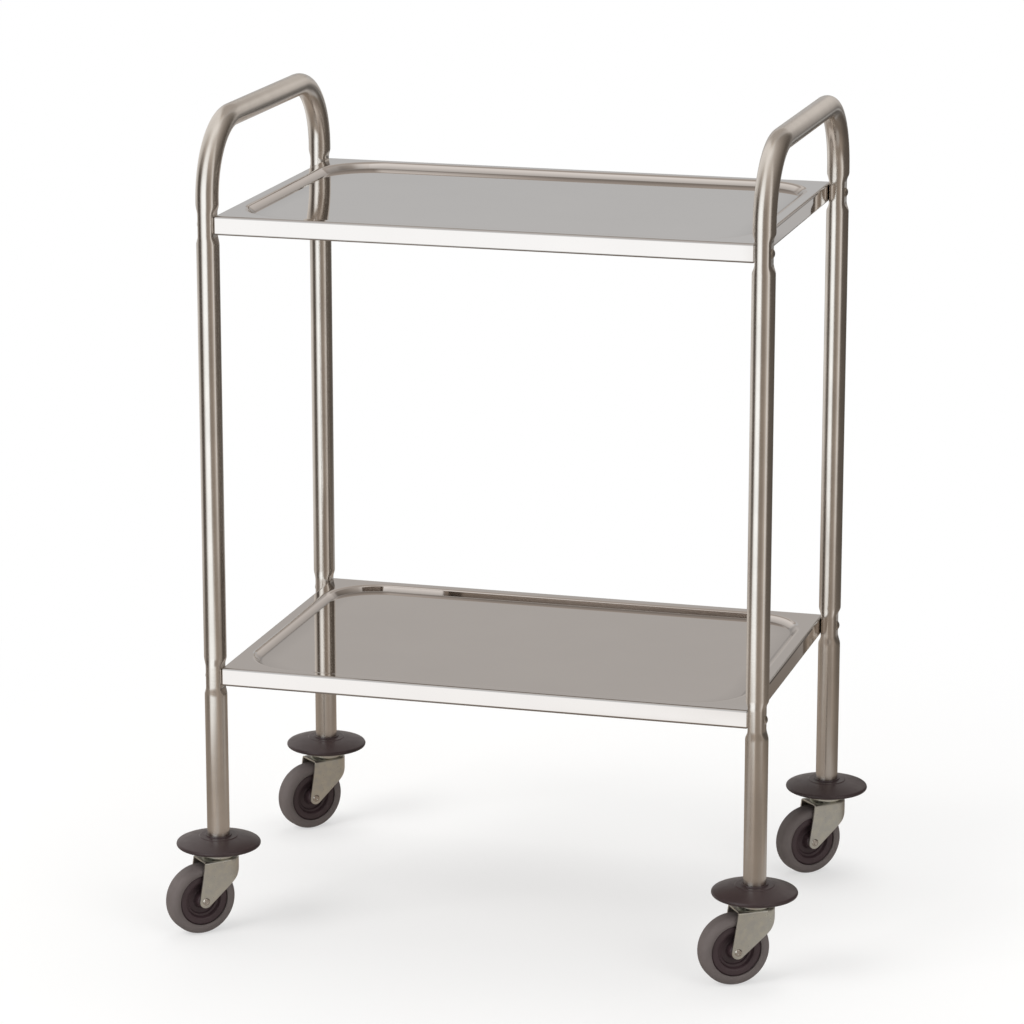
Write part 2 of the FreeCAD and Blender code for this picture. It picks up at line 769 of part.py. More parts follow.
def fork_plan(inset):
    """Plan of the fork: two parallel legs joined by a half circle behind the swivel axis."""
    half = size.fork_inner_width / 2 + size.fork_sheet - inset
    front = -size.castor_lead - size.fork_tip - size.overrun - inset
    centre = size.crown_reach
    return [(front, -half), (centre, -half, half), (centre + half, zero, half),
            (centre, half), (front, half)]


def fork_side():
    """Side view of the fork: straight front, round tip about the axle, rising round skirt.

    The two straight edges are tangent to the tip. The corner of the skirt is an arc that ends
    upright at the back of the crown.
    """
    axle = -size.castor_lead
    tip = size.fork_tip
    top = fork_height
    over = top + size.overrun
    front_run = root(top * top - tip * tip)
    front_u = axle - tip * front_run / top
    front_v = tip * tip / top
    reach = size.skirt_reach
    low = size.skirt_low
    distance = reach * reach + low * low
    back_run = root(distance - tip * tip)
    back_u = axle + tip * (tip * reach + low * back_run) / distance
    back_v = tip * (tip * low - reach * back_run) / distance
    high = top - size.skirt_drop
    back = size.crown_reach + size.fork_inner_width / 2 + size.fork_sheet
    across = back + size.castor_lead - reach
    rise = high - low
    corner = dome_radius(rise, across)
    return [
        (axle, over), (axle, top), (front_u, front_v, tip), (axle, -tip, tip),
        (back_u, back_v), (axle + reach, low, corner), (back, high),
        (back + size.overrun, high), (back + size.overrun, over)]


def fork(label, x, y, heading):
    """Pressed fork: crown, two legs and a rear skirt of one sheet, with the lower race."""
    body = new_body(label)
    drop = size.fork_tip + size.overrun
    half = size.fork_inner_width / 2 + size.fork_sheet
    plan = new_sketch(body, label + "_plan", "XY_Plane", -drop)
    add_outline(plan, fork_plan(zero))
    block = pad(body, label + "_block", plan, drop + fork_height)
    front = -size.castor_lead.number

    def crown_edge(edge):
        return level_at(fork_height)(edge) and edge.BoundBox.XMax > front

    round_edges(body, label + "_bends", block, size.fork_bend, crown_edge)
    inside = new_sketch(body, label + "_inside", "XY_Plane", -drop - size.overrun)
    add_outline(inside, fork_plan(size.fork_sheet))
    pocket(body, label + "_hollow", inside,
           drop + size.overrun + fork_height - size.fork_sheet, upwards=True)

    groove = size.ball_diameter / 2 + size.running_clearance
    pitch = size.ball_circle / 2
    ball_height = fork_height + size.race_gap / 2
    bead = groove + size.race_wall
    middle = fork_height - size.fork_sheet / 2
    depth = ball_height - middle
    reach = root(bead * bead - depth * depth)
    swelling = new_sketch(body, label + "_bead_section", "XZ_Plane")
    add_outline(swelling, [(pitch - reach, middle, bead), (pitch + reach, middle)])
    turn(body, label + "_bead", swelling)
    race = new_sketch(body, label + "_race_section", "XZ_Plane")
    add_circle(race, pitch, ball_height, groove)
    turn(body, label + "_race", race, groove=True)
    pin = new_sketch(body, label + "_pin_hole", "XY_Plane", fork_height + size.overrun)
    add_circle(pin, zero, zero, size.stem_diameter / 2 + size.running_clearance)
    pocket(body, label + "_pin_cut", pin, size.overrun + fork_height)

    side = new_sketch(body, label + "_side", "XZ_Plane")
    add_outline(side, fork_side())
    wide = half + size.crown_reach + size.overrun * 2
    low = -drop - size.overrun
    high = fork_height + size.overrun * 2
    far = -size.castor_lead - drop - size.overrun
    add_outline(side, [(far, low), (wide, low), (wide, high), (far, high)])
    cut_both_ways(body, label + "_side_cut", side, half * 2 + size.overrun)
    axle = new_sketch(body, label + "_axle_hole", "XZ_Plane")
    add_circle(axle, -size.castor_lead, zero, size.axle_diameter / 2 + size.fit_clearance)
    cut_both_ways(body, label + "_axle_cut", axle, half * 2 + size.overrun)
    place(body, x, y, wheel_radius, heading)
    parts.append(body)


def axle_bolt(label, x, y, across):
    """Dome-head bolt through the fork's legs, its head on the outer side."""
    shank = size.axle_diameter / 2
    head = size.axle_head / 2
    seat = size.fork_inner_width / 2 + size.fork_sheet
    rim_share = 0.2
    rim = size.axle_head_height * rim_share
    top = seat + size.axle_head_height
    end = -seat - size.axle_nut_height - size.axle_tail
    body = turned_body(label, [
        (zero, end), (shank, end), (shank, seat), (head, seat),
        (head, seat + rim, dome_radius(head, size.axle_head_height - rim)), (zero, top)])
    socket = new_sketch(body, label + "_socket", "XY_Plane", top)
    add_outline(socket, hexagon(size.axle_socket * root(as_size(3))))
    pocket(body, label + "_socket_cut", socket, size.axle_socket_depth)
    place(body, x, y, wheel_radius, across)
    parts.append(body)


def axle_nut(label, x, y, across):
    """Hexagon nut against the fork's inner leg."""
    body = new_body(label)
    start = -size.fork_inner_width / 2 - size.fork_sheet - size.axle_nut_height
    plan = new_sketch(body, label + "_plan", "XY_Plane", start)
    add_outline(plan, hexagon(size.axle_nut_flats))
    add_circle(plan, zero, zero, size.axle_diameter / 2 + size.fit_clearance)
    pad(body, label + "_hexagon", plan, size.axle_nut_height)
    place(body, x, y, wheel_radius, across)
    parts.append(body)


def axle_sleeve(label, x, y, across):
    """Sleeve between the fork's legs, which the hub turns on."""
    half = size.fork_inner_width / 2
    bore = size.axle_diameter / 2 + size.fit_clearance
    outside = size.sleeve_diameter / 2
    body = turned_body(label, [(bore, -half), (outside, -half), (outside, half), (bore, half)])
    place(body, x, y, wheel_radius, across)
    parts.append(body)


def wheel_hub(label, x, y, across):
    """Moulded hub: boss, thin web and a rim that carries the tyre."""
    bore = size.sleeve_diameter / 2 + size.running_clearance
    boss = size.hub_boss / 2
    boss_end = size.fork_inner_width / 2 - size.side_clearance
    web = size.hub_web / 2
    draft = size.hub_draft
    inner = size.hub_rim_inner / 2
    outer = size.tyre_bore / 2
    rim = size.hub_rim_width / 2
    nick = size.rim_groove
    body = turned_body(label, [
        (bore, -boss_end), (boss, -boss_end), (boss + draft, -web), (inner - draft, -web),
        (inner, -rim), (outer - nick, -rim), (outer, nick - rim), (outer, rim - nick),
        (outer - nick, rim), (inner, rim), (inner - draft, web), (boss + draft, web),
        (boss, boss_end), (bore, boss_end)])
    place(body, x, y, wheel_radius, across)
    parts.append(body)


def tyre(label, x, y, across):
    """Rubber tyre with round shoulders, seated on the hub's rim."""
    inner = size.tyre_bore / 2 + size.fit_clearance
    half = size.tyre_width / 2
    shoulder = size.tyre_shoulder
    foot_share = 0.9
    body = turned_body(label, [
        (inner, -half * foot_share), (wheel_radius - shoulder, -half, shoulder),
        (wheel_radius, shoulder - half), (wheel_radius, half - shoulder, shoulder),
        (wheel_radius - shoulder, half), (inner, half * foot_share)])
    place(body, x, y, wheel_radius, across)
    parts.append(body)


def build_castor(name, x, y, trail):
    """One swivel castor under a leg, its wheel trailing at an angle from -X towards the front."""
    heading = Rotation(Vector(0, 0, 1), trail.number)
    across = heading * Rotation(Vector(1, 0, 0), 90)
    axle_x = x - size.castor_lead * cosine(trail)
    axle_y = y - size.castor_lead * sine(trail)
    tube_plug(name + "_tube_plug", x, y)
    stem(name + "_stem", x, y)
    bumper_disc(name + "_bumper_disc", x, y)
    swivel_head(name + "_swivel_head", x, y)
    race_balls(name + "_race_balls", x, y, heading)
    fork(name + "_fork", x, y, heading)
    axle_bolt(name + "_axle_bolt", axle_x, axle_y, across)
    axle_nut(name + "_axle_nut", axle_x, axle_y, across)
    axle_sleeve(name + "_axle_sleeve", axle_x, axle_y, across)
    wheel_hub(name + "_wheel_hub", axle_x, axle_y, across)
    tyre(name + "_tyre", axle_x, axle_y, across)


def build_trolley():
    build_side_frames()
    for tray, height in (("top_shelf", top_tray_height),
                         ("bottom_shelf", bottom_tray_height)):
        build_tray(tray, height)
        build_tray_fasteners(tray, height)
    build_castor("front_left", -leg_x, -leg_y, size.front_left_trail_angle)
    build_castor("front_right", leg_x, -leg_y, size.front_right_trail_angle)
    build_castor("rear_left", -leg_x, leg_y, size.rear_left_trail_angle)
    build_castor("rear_right", leg_x, leg_y, size.rear_right_trail_angle)


def check_and_write():
    """Write each sub-part once every object has built and every shape is sound."""
    doc.recompute()
    for item in doc.Objects:
        if "Invalid" in item.State or "Error" in item.State:
            raise RuntimeError("{} failed: {}".format(item.Name, item.State))
    for item in parts:
        if item.Shape.isNull() or not item.Shape.isValid():
            raise RuntimeError("{} has no valid shape".format(item.Label))
    os.makedirs("parts", exist_ok=True)
    for item in parts:
        item.Shape.exportStep("parts/{}.step".format(item.Label))
        print(item.Label, len(item.Shape.Solids), round(item.Shape.Volume, 1))


build_trolley()
check_and_write()
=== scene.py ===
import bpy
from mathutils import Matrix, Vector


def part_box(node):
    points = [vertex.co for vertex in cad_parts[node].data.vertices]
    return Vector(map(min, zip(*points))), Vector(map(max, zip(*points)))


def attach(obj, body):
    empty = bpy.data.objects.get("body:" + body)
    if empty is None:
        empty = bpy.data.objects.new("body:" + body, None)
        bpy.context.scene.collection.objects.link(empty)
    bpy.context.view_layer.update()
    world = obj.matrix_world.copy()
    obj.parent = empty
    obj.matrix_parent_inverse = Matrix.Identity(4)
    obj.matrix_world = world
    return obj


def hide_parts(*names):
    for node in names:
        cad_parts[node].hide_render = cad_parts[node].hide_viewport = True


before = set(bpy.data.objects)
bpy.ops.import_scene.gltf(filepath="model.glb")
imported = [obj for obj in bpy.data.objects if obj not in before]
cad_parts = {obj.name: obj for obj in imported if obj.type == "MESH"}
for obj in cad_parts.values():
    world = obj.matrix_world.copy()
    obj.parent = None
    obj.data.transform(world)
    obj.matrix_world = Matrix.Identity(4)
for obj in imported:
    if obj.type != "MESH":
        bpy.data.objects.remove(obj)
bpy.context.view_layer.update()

import math

import bmesh
import bpy
import numpy as np
from bpy.props import FloatProperty, FloatVectorProperty, IntProperty, PointerProperty

bl_info = {
    "name": "Serving Trolley",
    "version": (1, 0, 0),
    "blender": (4, 5, 0),
    "location": "3D View > Sidebar > Trolley",
    "description": "Builds a two-tier serving trolley round its packed model",
    "category": "Add Mesh",
}

MM = 0.001
MERGE = 1e-6
CASTORS = ("front_left", "front_right", "rear_left", "rear_right")
TRAYS = ("top_shelf", "bottom_shelf")
ROUND = 1.0  # metres: wider than any screw, so it limits no radius
BUMPER_TOP = 10.6 * MM  # the bumper's lip above its mid-plane
RACE_PITCH = 11 * MM  # radius of the ring of balls
RACE_GROOVE = 2.48 * MM  # radius of the groove they run in
RACE_GAP = 0.6 * MM  # half the gap between the races
RACE_BORE = 5.1 * MM


# Sizes and colours

def length(name, description, millimetres):
    """A size, kept in metres."""
    return FloatProperty(name=name, description=description, default=millimetres * MM,
                         min=0.0, precision=4, subtype="DISTANCE", unit="LENGTH")


def linear(hex_value):
    """The linear colour of an sRGB hex value."""
    share = np.array([int(hex_value[at:at + 2], 16) for at in (1, 3, 5)]) / 255
    low = share / 12.92
    high = ((share + 0.055) / 1.055) ** 2.4
    return tuple(float(x) for x in np.where(share <= 0.04045, low, high))


def tone(name, description, hex_value):
    """A colour, kept linear."""
    return FloatVectorProperty(name=name, description=description, default=linear(hex_value),
                               size=3, min=0.0, max=1.0, subtype="COLOR")


def middle_of(node):
    """Middle of a packed node's box, in metres."""
    low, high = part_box(node)
    return (low + high) / 2


class FrameSizes(bpy.types.PropertyGroup):
    """The bent tubes."""
    tube: length("Tube", "Outside diameter of the bent tube", 25.4)
    wall: length("Wall", "Wall of the tube", 1.2)
    bend: length("Bend", "Centreline radius of the two bends", 82)
    dent: length("Dent", "How far the tube is pressed in at a tray", 3.8)
    dent_flat: length("Dent Flat", "Half the height of a dent's flat", 11.5)
    dent_runout: length("Dent Runout", "Height over which a dent runs out", 11)


class TraySizes(bpy.types.PropertyGroup):
    """The two pressed trays."""
    sheet: length("Sheet", "Thickness of the sheet", 1)
    flange: length("Flange", "Height of the folded flange", 21)
    lip: length("Lip", "Return along the bottom of the flange", 8)
    corner: length("Corner", "Radius of the flange's upright corners", 1.6)
    fold: length("Fold", "Outside radius of the folds", 2.5)
    inset: length("Inset", "Edge to the line where the step's slope meets the border", 14.5)
    depth: length("Depth", "Border to the sunken floor", 6.5)
    slope: FloatProperty(name="Slope", description="Slope of the step from level",
                         default=math.radians(40), subtype="ANGLE", unit="ROTATION")
    well_corner: length("Well Corner", "Plan radius of the step's corners", 63)
    brim: length("Brim", "Radius at the top of the step", 8)
    foot: length("Foot", "Radius at the bottom of the step", 2.5)


class ScrewSizes(bpy.types.PropertyGroup):
    """The dome-head screws that hold the trays."""
    head: length("Head", "Diameter of the dome head", 10.5)
    rise: length("Rise", "Height of the dome head", 3)
    shank: length("Shank", "Diameter of the shank", 5)
    length: length("Length", "Shank from the head to its end", 25.7)
    socket: length("Socket", "Hexagon socket across flats", 2.77)
    socket_depth: length("Socket Depth", "Depth of the socket", 1.5)


class CastorSizes(bpy.types.PropertyGroup):
    """Bumper disc, upper race, fork and axle."""
    bumper: length("Bumper", "Outside diameter of the bumper disc", 95)
    bumper_rim: length("Bumper Rim", "Radius of the bumper's rim", 2.6)
    bumper_crown: length("Bumper Crown", "Radius of the bumper's domed faces", 105)
    lead: length("Lead", "Swivel axis to axle", 24)
    sheet: length("Fork Sheet", "Sheet of the fork", 2)
    half_width: length("Fork Half Width", "Fork's middle to the outside of a leg", 16)
    crown: length("Crown", "Axle to the top of the fork's crown", 46)
    crown_reach: length("Crown Reach", "Swivel axis to the centre of the round back", 7)
    tip: length("Tip", "Radius of the fork's tips", 7.5)
    fold: length("Fork Fold", "Outside radius of the fork's bends", 2.5)
    axle: length("Axle", "Diameter of the axle bolt", 6)
    axle_head: length("Axle Head", "Diameter of the axle bolt's head", 8.5)


class WheelSizes(bpy.types.PropertyGroup):
    """Hub and tyre."""
    diameter: length("Wheel", "Outside diameter of the tyre", 80)
    width: length("Tyre Width", "Width of the tyre", 24)
    shoulder: length("Shoulder", "Radius of the tyre's shoulders", 8)
    seat: length("Seat", "Diameter of the tyre's seat", 58)
    rim_width: length("Rim Width", "Width of the hub's rim", 20)
    rim_inner: length("Rim Inside", "Inside diameter of the hub's rim", 42)
    web: length("Web", "Thickness of the hub's web", 6)
    boss: length("Boss", "Diameter of the hub's boss", 17)


class FinishColours(bpy.types.PropertyGroup):
    """Colours of the finishes."""
    tube: tone("Tube", "Satin polished stainless tube", "#e3ded7")
    tray: tone("Tray", "Mirror polished stainless sheet", "#e3deda")
    plated: tone("Plated", "Zinc plated fork and races", "#dddfda")
    screw: tone("Screw", "Nickel plated screws", "#d8d3cb")
    bumper: tone("Bumper", "Moulded bumper rubber", "#362b2c")
    tyre: tone("Tyre", "Moulded tyre rubber", "#655d5b")
    hub: tone("Hub", "Moulded polypropylene hub", "#3d2f32")
    plug: tone("Plug", "Moulded nylon sleeve", "#23211f")


class StageSettings(bpy.types.PropertyGroup):
    """Camera and light."""
    lens: FloatProperty(name="Lens", description="Focal length in millimetres",
                        default=147.5, min=10.0)
    position: FloatVectorProperty(name="Camera", description="Place of the camera",
                                  default=(1.2296, -4.4283, 1.6298), subtype="XYZ",
                                  unit="LENGTH")
    turn: FloatProperty(name="Turn", description="Camera turned towards the left",
                        default=math.radians(15.76), subtype="ANGLE", unit="ROTATION")
    tilt: FloatProperty(name="Tilt", description="Camera tilted down",
                        default=math.radians(14.28), subtype="ANGLE", unit="ROTATION")
    floor: tone("Floor", "Pale studio floor", "#eeedeb")


class RoundSteps(bpy.types.PropertyGroup):
    """How finely round pieces are divided."""
    tube: IntProperty(name="Tube", description="Columns round a tube", default=64, min=12)
    wheel: IntProperty(name="Wheel", description="Columns round a wheel", default=144, min=24)
    race: IntProperty(name="Race", description="Columns round a ball race", default=96, min=24)
    screw: IntProperty(name="Screw", description="Columns round a screw", default=48, min=12)


# Surfaces

def stacked(*parts):
    """Arrays spread to one shape and set side by side along a new last axis."""
    return np.stack(np.broadcast_arrays(*parts), axis=-1)


def arc(centre, radius, start, end, steps):
    """Points on a circle between two angles in degrees: centre + radius (cos, sin)."""
    angle = np.radians(np.linspace(start, end, steps))
    return stacked(centre[0] + radius * np.cos(angle), centre[1] + radius * np.sin(angle))


def swung(centre, first, second, swing, steps):
    """Points on an arc, given its centre, its first and last spoke and the angle between.

    Each spoke in between is their slerp: sin((1 - s) a) first + sin(s a) second over sin a.
    """
    share = np.linspace(0, 1, steps).reshape((-1,) + (1,) * np.ndim(first))
    return centre + (np.sin((1 - share) * swing) * first
                     + np.sin(share * swing) * second) / np.sin(swing)


def bow(start, end, radius, steps):
    """Points on the shorter arc between two points.

    The centre lies left of the chord for a positive radius, at the height that the circle
    through both ends gives.
    """
    start, end = np.asarray(start, float), np.asarray(end, float)
    chord = end - start
    half = np.linalg.norm(chord) / 2
    left = np.array([-chord[1], chord[0]]) / (2 * half)
    centre = (start + end) / 2 + left * math.copysign(math.sqrt(radius ** 2 - half ** 2), radius)
    return swung(centre, start - centre, end - centre, 2 * math.asin(half / abs(radius)), steps)


def soften(corners, steps=6, support=0.0):
    """Round the corners of a closed outline, each given as (a, b, radius).

    The arc's centre lies on the corner's bisector, radius / sin(half the opening) from the
    corner, and it runs between the two tangent points. With a support, another point lies
    that far beyond each tangent point, which keeps flats flat under smooth shading.
    """
    corners = np.asarray(corners, float)
    point, radius = corners[:, :2], corners[:, 2:]
    before = np.roll(point, 1, axis=0) - point
    after = np.roll(point, -1, axis=0) - point
    before /= np.linalg.norm(before, axis=1, keepdims=True)
    after /= np.linalg.norm(after, axis=1, keepdims=True)
    opening = np.arccos(np.clip((before * after).sum(axis=1, keepdims=True), -1, 1))
    bisector = before + after
    bisector /= np.maximum(np.linalg.norm(bisector, axis=1, keepdims=True), 1e-12)
    centre = point + bisector * radius / np.sin(opening / 2)
    reach = radius / np.tan(opening / 2)
    swing = np.maximum(math.pi - opening, 1e-9)
    spokes = [point + side * reach - centre for side in (before, after)]
    beyond = reach + support * (radius > 0)
    rows = np.concatenate([(point + before * beyond)[None],
                           swung(centre, *spokes, swing, steps),
                           (point + after * beyond)[None]])
    outline = rows.transpose(1, 0, 2).reshape(-1, 2)
    step = np.linalg.norm(outline - np.roll(outline, 1, axis=0), axis=1)
    return outline[step > MERGE]


def plain(points):
    """Corners without rounding, to join with rounded ones."""
    points = np.asarray(points, float).reshape(-1, 2)
    return np.concatenate([points, np.zeros((len(points), 1))], axis=1)


def turned(profile, columns, flats=None):
    """A (radius, height) profile carried round Z: x = r cos t, y = r sin t, z = height.

    Where a row has a size across flats, its radius is also at most that hexagon's, which is
    half the flats over the cosine of the angle from the nearest flat's middle.
    """
    angle = np.linspace(0, 2 * math.pi, columns, endpoint=False)
    radius = profile[:, :1]
    if flats is not None:
        from_flat = (angle + math.pi / 6) % (math.pi / 3) - math.pi / 6
        radius = np.minimum(radius, flats[:, None] / 2 / np.cos(from_flat))
    return stacked(radius * np.cos(angle), radius * np.sin(angle), profile[:, 1:])


def placed(points, angle, origin, lay_down=False):
    """Turn points about Z by an angle and shift them to an origin.

    Points that are laid down are first turned a quarter about X, so that local Z lies level.
    """
    x, y, z = points[..., 0], points[..., 1], points[..., 2]
    if lay_down:
        y, z = -z, y
    c, s = math.cos(angle), math.sin(angle)
    return stacked(c * x - s * y, s * x + c * y, z) + origin


def grid_faces(rows, columns, wrap_rows, wrap_columns):
    """Corners of the quads of a grid of points, closed along either direction if wanted."""
    row = np.arange(rows if wrap_rows else rows - 1)[:, None]
    column = np.arange(columns if wrap_columns else columns - 1)[None, :]
    next_row, next_column = (row + 1) % rows, (column + 1) % columns
    return stacked(row * columns + column, row * columns + next_column,
                   next_row * columns + next_column, next_row * columns + column).reshape(-1, 4)


def make_mesh(name, patches, closed=True, fields=None):
    """One mesh from surface patches, each (points, wrap rows, wrap columns).

    Points that meet are merged, which closes seams and poles, and a closed shell's faces are
    turned outwards. Each field is a value or a colour that the points carry, by name, and is
    the same all along a row where it has one column.
    """
    points, faces, count = [], [], 0
    for grid, wrap_rows, wrap_columns in patches:
        rows, columns = grid.shape[:2]
        faces.append(grid_faces(rows, columns, wrap_rows, wrap_columns) + count)
        points.append(grid.reshape(-1, 3))
        count += rows * columns
    points, faces = np.concatenate(points), np.concatenate(faces)
    mesh = bpy.data.meshes.new(name)
    mesh.vertices.add(len(points))
    mesh.vertices.foreach_set("co", points.astype(np.float32).ravel())
    mesh.loops.add(faces.size)
    mesh.loops.foreach_set("vertex_index", faces.astype(np.int32).ravel())
    mesh.polygons.add(len(faces))
    mesh.polygons.foreach_set("loop_start", np.arange(len(faces), dtype=np.int32) * 4)
    mesh.update(calc_edges=True)
    for key, values in (fields or {}).items():
        kind, member = ("FLOAT", "value") if values.ndim == 2 else ("FLOAT_COLOR", "color")
        values = np.broadcast_to(values, (rows, columns) + values.shape[2:])
        layer = mesh.attributes.new(key, kind, "POINT")
        layer.data.foreach_set(member, values.astype(np.float32).ravel())
    shell = bmesh.new()
    shell.from_mesh(mesh)
    bmesh.ops.remove_doubles(shell, verts=shell.verts, dist=MERGE)
    bmesh.ops.dissolve_degenerate(shell, edges=shell.edges, dist=MERGE)
    if closed:
        bmesh.ops.recalc_face_normals(shell, faces=shell.faces)
    shell.to_mesh(mesh)
    shell.free()
    return mesh


def add_object(name, data):
    """Put new data in the scene as an object."""
    thing = bpy.data.objects.new(name, data)
    bpy.context.scene.collection.objects.link(thing)
    return thing


def add_piece(name, mesh, body, slot, node, sharp_from=32):
    """Put a finished mesh in the scene, on its body, in place of a packed node.

    It is smooth, with sharp edges where two faces meet at more than the angle in degrees.
    """
    mesh.shade_smooth()
    mesh.set_sharp_from_angle(angle=math.radians(sharp_from))
    mesh.materials.append(finish(slot))
    piece = add_object(name, mesh)
    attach(piece, body)
    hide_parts(node)


def with_modifiers(name, mesh, modifiers):
    """The mesh after modifiers, each (kind, settings), as a plain mesh."""
    piece = add_object(name, mesh)
    for kind, settings in modifiers:
        modifier = piece.modifiers.new(kind.title(), kind)
        for key, value in settings.items():
            setattr(modifier, key, value)
    finished = bpy.data.meshes.new_from_object(
        piece.evaluated_get(bpy.context.evaluated_depsgraph_get()))
    bpy.data.objects.remove(piece)
    bpy.data.meshes.remove(mesh)
    finished.name = name
    return finished


# Finishes

def add_node(tree, kind, inputs=None, **settings):
    """Add a shader node with its settings.

    Inputs map a socket to a value, to another node's output, or to a node for its first one.
    """
    node = tree.nodes.new("ShaderNode" + kind)
    for key, value in settings.items():
        setattr(node, key, value)
    for key, value in (inputs or {}).items():
        if isinstance(value, bpy.types.Node):
            value = value.outputs[0]
        if isinstance(value, bpy.types.NodeSocket):
            tree.links.new(value, node.inputs[key])
        else:
            node.inputs[key].default_value = value
    return node


def emptied(thing):
    """The node tree of a material or world, without its first nodes."""
    thing.use_nodes = True
    thing.node_tree.nodes.clear()
    return thing.node_tree


def rgba(colour, brightness=1.0):
    """A linear colour with full alpha."""
    return tuple(min(channel * brightness, 1.0) for channel in colour) + (1.0,)


def spotted(tree, place, size_mm, low, high, detail=3.0):
    """A value in spots of a real size, mapped from noise's usual span to low..high."""
    noise = add_node(tree, "TexNoise", {
        "Vector": place, "Scale": 1 / (size_mm * MM), "Detail": detail})
    return add_node(tree, "MapRange", {
        "Value": noise, "From Min": 0.3, "From Max": 0.7, "To Min": low, "To Max": high})


def clouded(tree, place, size_mm, first, second, detail=3.0):
    """A colour in clouds of a real size, between two tints."""
    share = spotted(tree, place, size_mm, 0.0, 1.0, detail)
    return add_node(tree, "Mix", {0: share, 6: first, 7: second}, data_type="RGBA").outputs[2]


def grained(tree, place, size_mm, depth_mm, strength, detail):
    """A relief in noise of a real size and depth."""
    noise = add_node(tree, "TexNoise", {
        "Vector": place, "Scale": 1 / (size_mm * MM), "Detail": detail})
    return add_node(tree, "Bump", {
        "Height": noise, "Distance": depth_mm * MM, "Strength": strength})


# Each of these gives its shader's inputs, from a tree, the place on the piece and a colour.

def satin_polished_stainless_tube(tree, place, colour):
    """Stainless tube belt-polished round its axis.

    Fine rings across the tube blur reflections along it a little. Real grit lines are 0.1 mm
    apart, and these are drawn 1.6 mm apart so that they show.
    """
    along = add_node(tree, "Attribute", attribute_name="along").outputs["Fac"]
    rings = add_node(tree, "TexNoise", {
        "W": along, "Scale": 1 / (1.6 * MM), "Detail": 4.0, "Roughness": 0.7},
        noise_dimensions="1D")
    return {"Base Color": clouded(tree, place, 45, rgba(colour, 0.94), rgba(colour, 1.05)),
            "Metallic": 1.0,
            "Roughness": add_node(tree, "MapRange", {
                "Value": rings, "From Min": 0.25, "From Max": 0.75, "To Min": 0.16,
                "To Max": 0.24}),
            "Normal": add_node(tree, "Bump", {
                "Height": rings, "Distance": 0.006 * MM, "Strength": 0.5})}


def mirror_polished_stainless_sheet(tree, place, colour):
    """Cold-rolled stainless sheet, buffed to a mirror on its upper side.

    Buffing leaves broad shallow waves, about 60 mm across and a few micrometres deep, and a
    faint haze where cloths have wiped it. Shade is painted along the foot of the step and on
    the flange's folds, and the underside keeps the dull skin of the rolled sheet.
    """
    soiled, dull = [add_node(tree, "Attribute", attribute_name=name).outputs["Fac"]
                    for name in ("soiled", "dull")]
    clean = clouded(tree, place, 90, rgba(colour, 0.975), rgba(colour))
    # painted shade: the polished side darkens to 0.45 of its colour at the step's foot and on the
    # folds
    base = add_node(tree, "Mix", {0: soiled, 6: clean, 7: rgba(colour, 0.45)},
                    data_type="RGBA")
    rough = add_node(tree, "Mix", {
        0: dull, 2: spotted(tree, place, 28, 0.03, 0.05, 5.0),
        3: spotted(tree, place, 6, 0.30, 0.40, 4.0)})
    return {"Base Color": base.outputs[2], "Metallic": 1.0, "Roughness": rough,
            "Normal": grained(tree, place, 60, 0.012, 0.3, 1.0)}


def zinc_plated_pressed_steel(tree, place, colour):
    """Steel sheet pressed and zinc plated, with a clear blue-white passivation.

    The plating is satin and slightly cloudy, with grains 2 to 8 mm across.
    """
    warm = (colour[0] * 1.02, colour[1], colour[2] * 0.94)
    return {"Base Color": clouded(tree, place, 7, rgba(colour, 0.93), rgba(warm, 1.06), 5.0),
            "Metallic": 1.0, "Roughness": spotted(tree, place, 3, 0.27, 0.40, 6.0),
            "Normal": grained(tree, place, 0.9, 0.02, 0.35, 2.0)}


def nickel_plated_steel(tree, place, colour):
    """Turned steel screws, bright nickel plated, with slight wear in small spots."""
    return {"Base Color": clouded(tree, place, 4, rgba(colour, 0.82), rgba(colour)),
            "Metallic": 1.0, "Roughness": spotted(tree, place, 1.5, 0.14, 0.26, 4.0)}


def turned_steel(tree, place, colour):
    """Bright drawn and turned steel: balls, stem and axle parts, oiled."""
    return {"Base Color": rgba(colour, 0.8), "Metallic": 1.0,
            "Roughness": spotted(tree, place, 2, 0.18, 0.30)}


def moulded(tree, place, colour, grain_mm, depth_mm, low, high, mottle):
    """A moulded rubber or plastic: matt, with the mould's fine grain and slight clouds."""
    tints = rgba(colour, 1 - mottle), rgba(colour, 1 + mottle)
    return {"Base Color": clouded(tree, place, 24, *tints, 5.0),
            "Roughness": spotted(tree, place, 9, low, high, 4.0),
            "Normal": grained(tree, place, grain_mm, depth_mm, 0.5, 3.0)}


def moulded_bumper_rubber(tree, place, colour):
    """Thermoplastic rubber disc, moulded smooth: dark warm grey with a soft sheen."""
    return moulded(tree, place, colour, 1.2, 0.03, 0.28, 0.38, 0.07)


def moulded_tyre_rubber(tree, place, colour):
    """Grey non-marking rubber tyre: matt, with dust in its grain."""
    return moulded(tree, place, colour, 1.0, 0.05, 0.52, 0.66, 0.09)


def moulded_polypropylene(tree, place, colour):
    """Polypropylene hub, injection moulded: dark, waxy, slightly uneven."""
    return moulded(tree, place, colour, 1.6, 0.03, 0.40, 0.52, 0.10)


def moulded_nylon(tree, place, colour):
    """Nylon sleeve in the leg's end, injection moulded."""
    return moulded(tree, place, colour, 1.4, 0.02, 0.38, 0.50, 0.08)


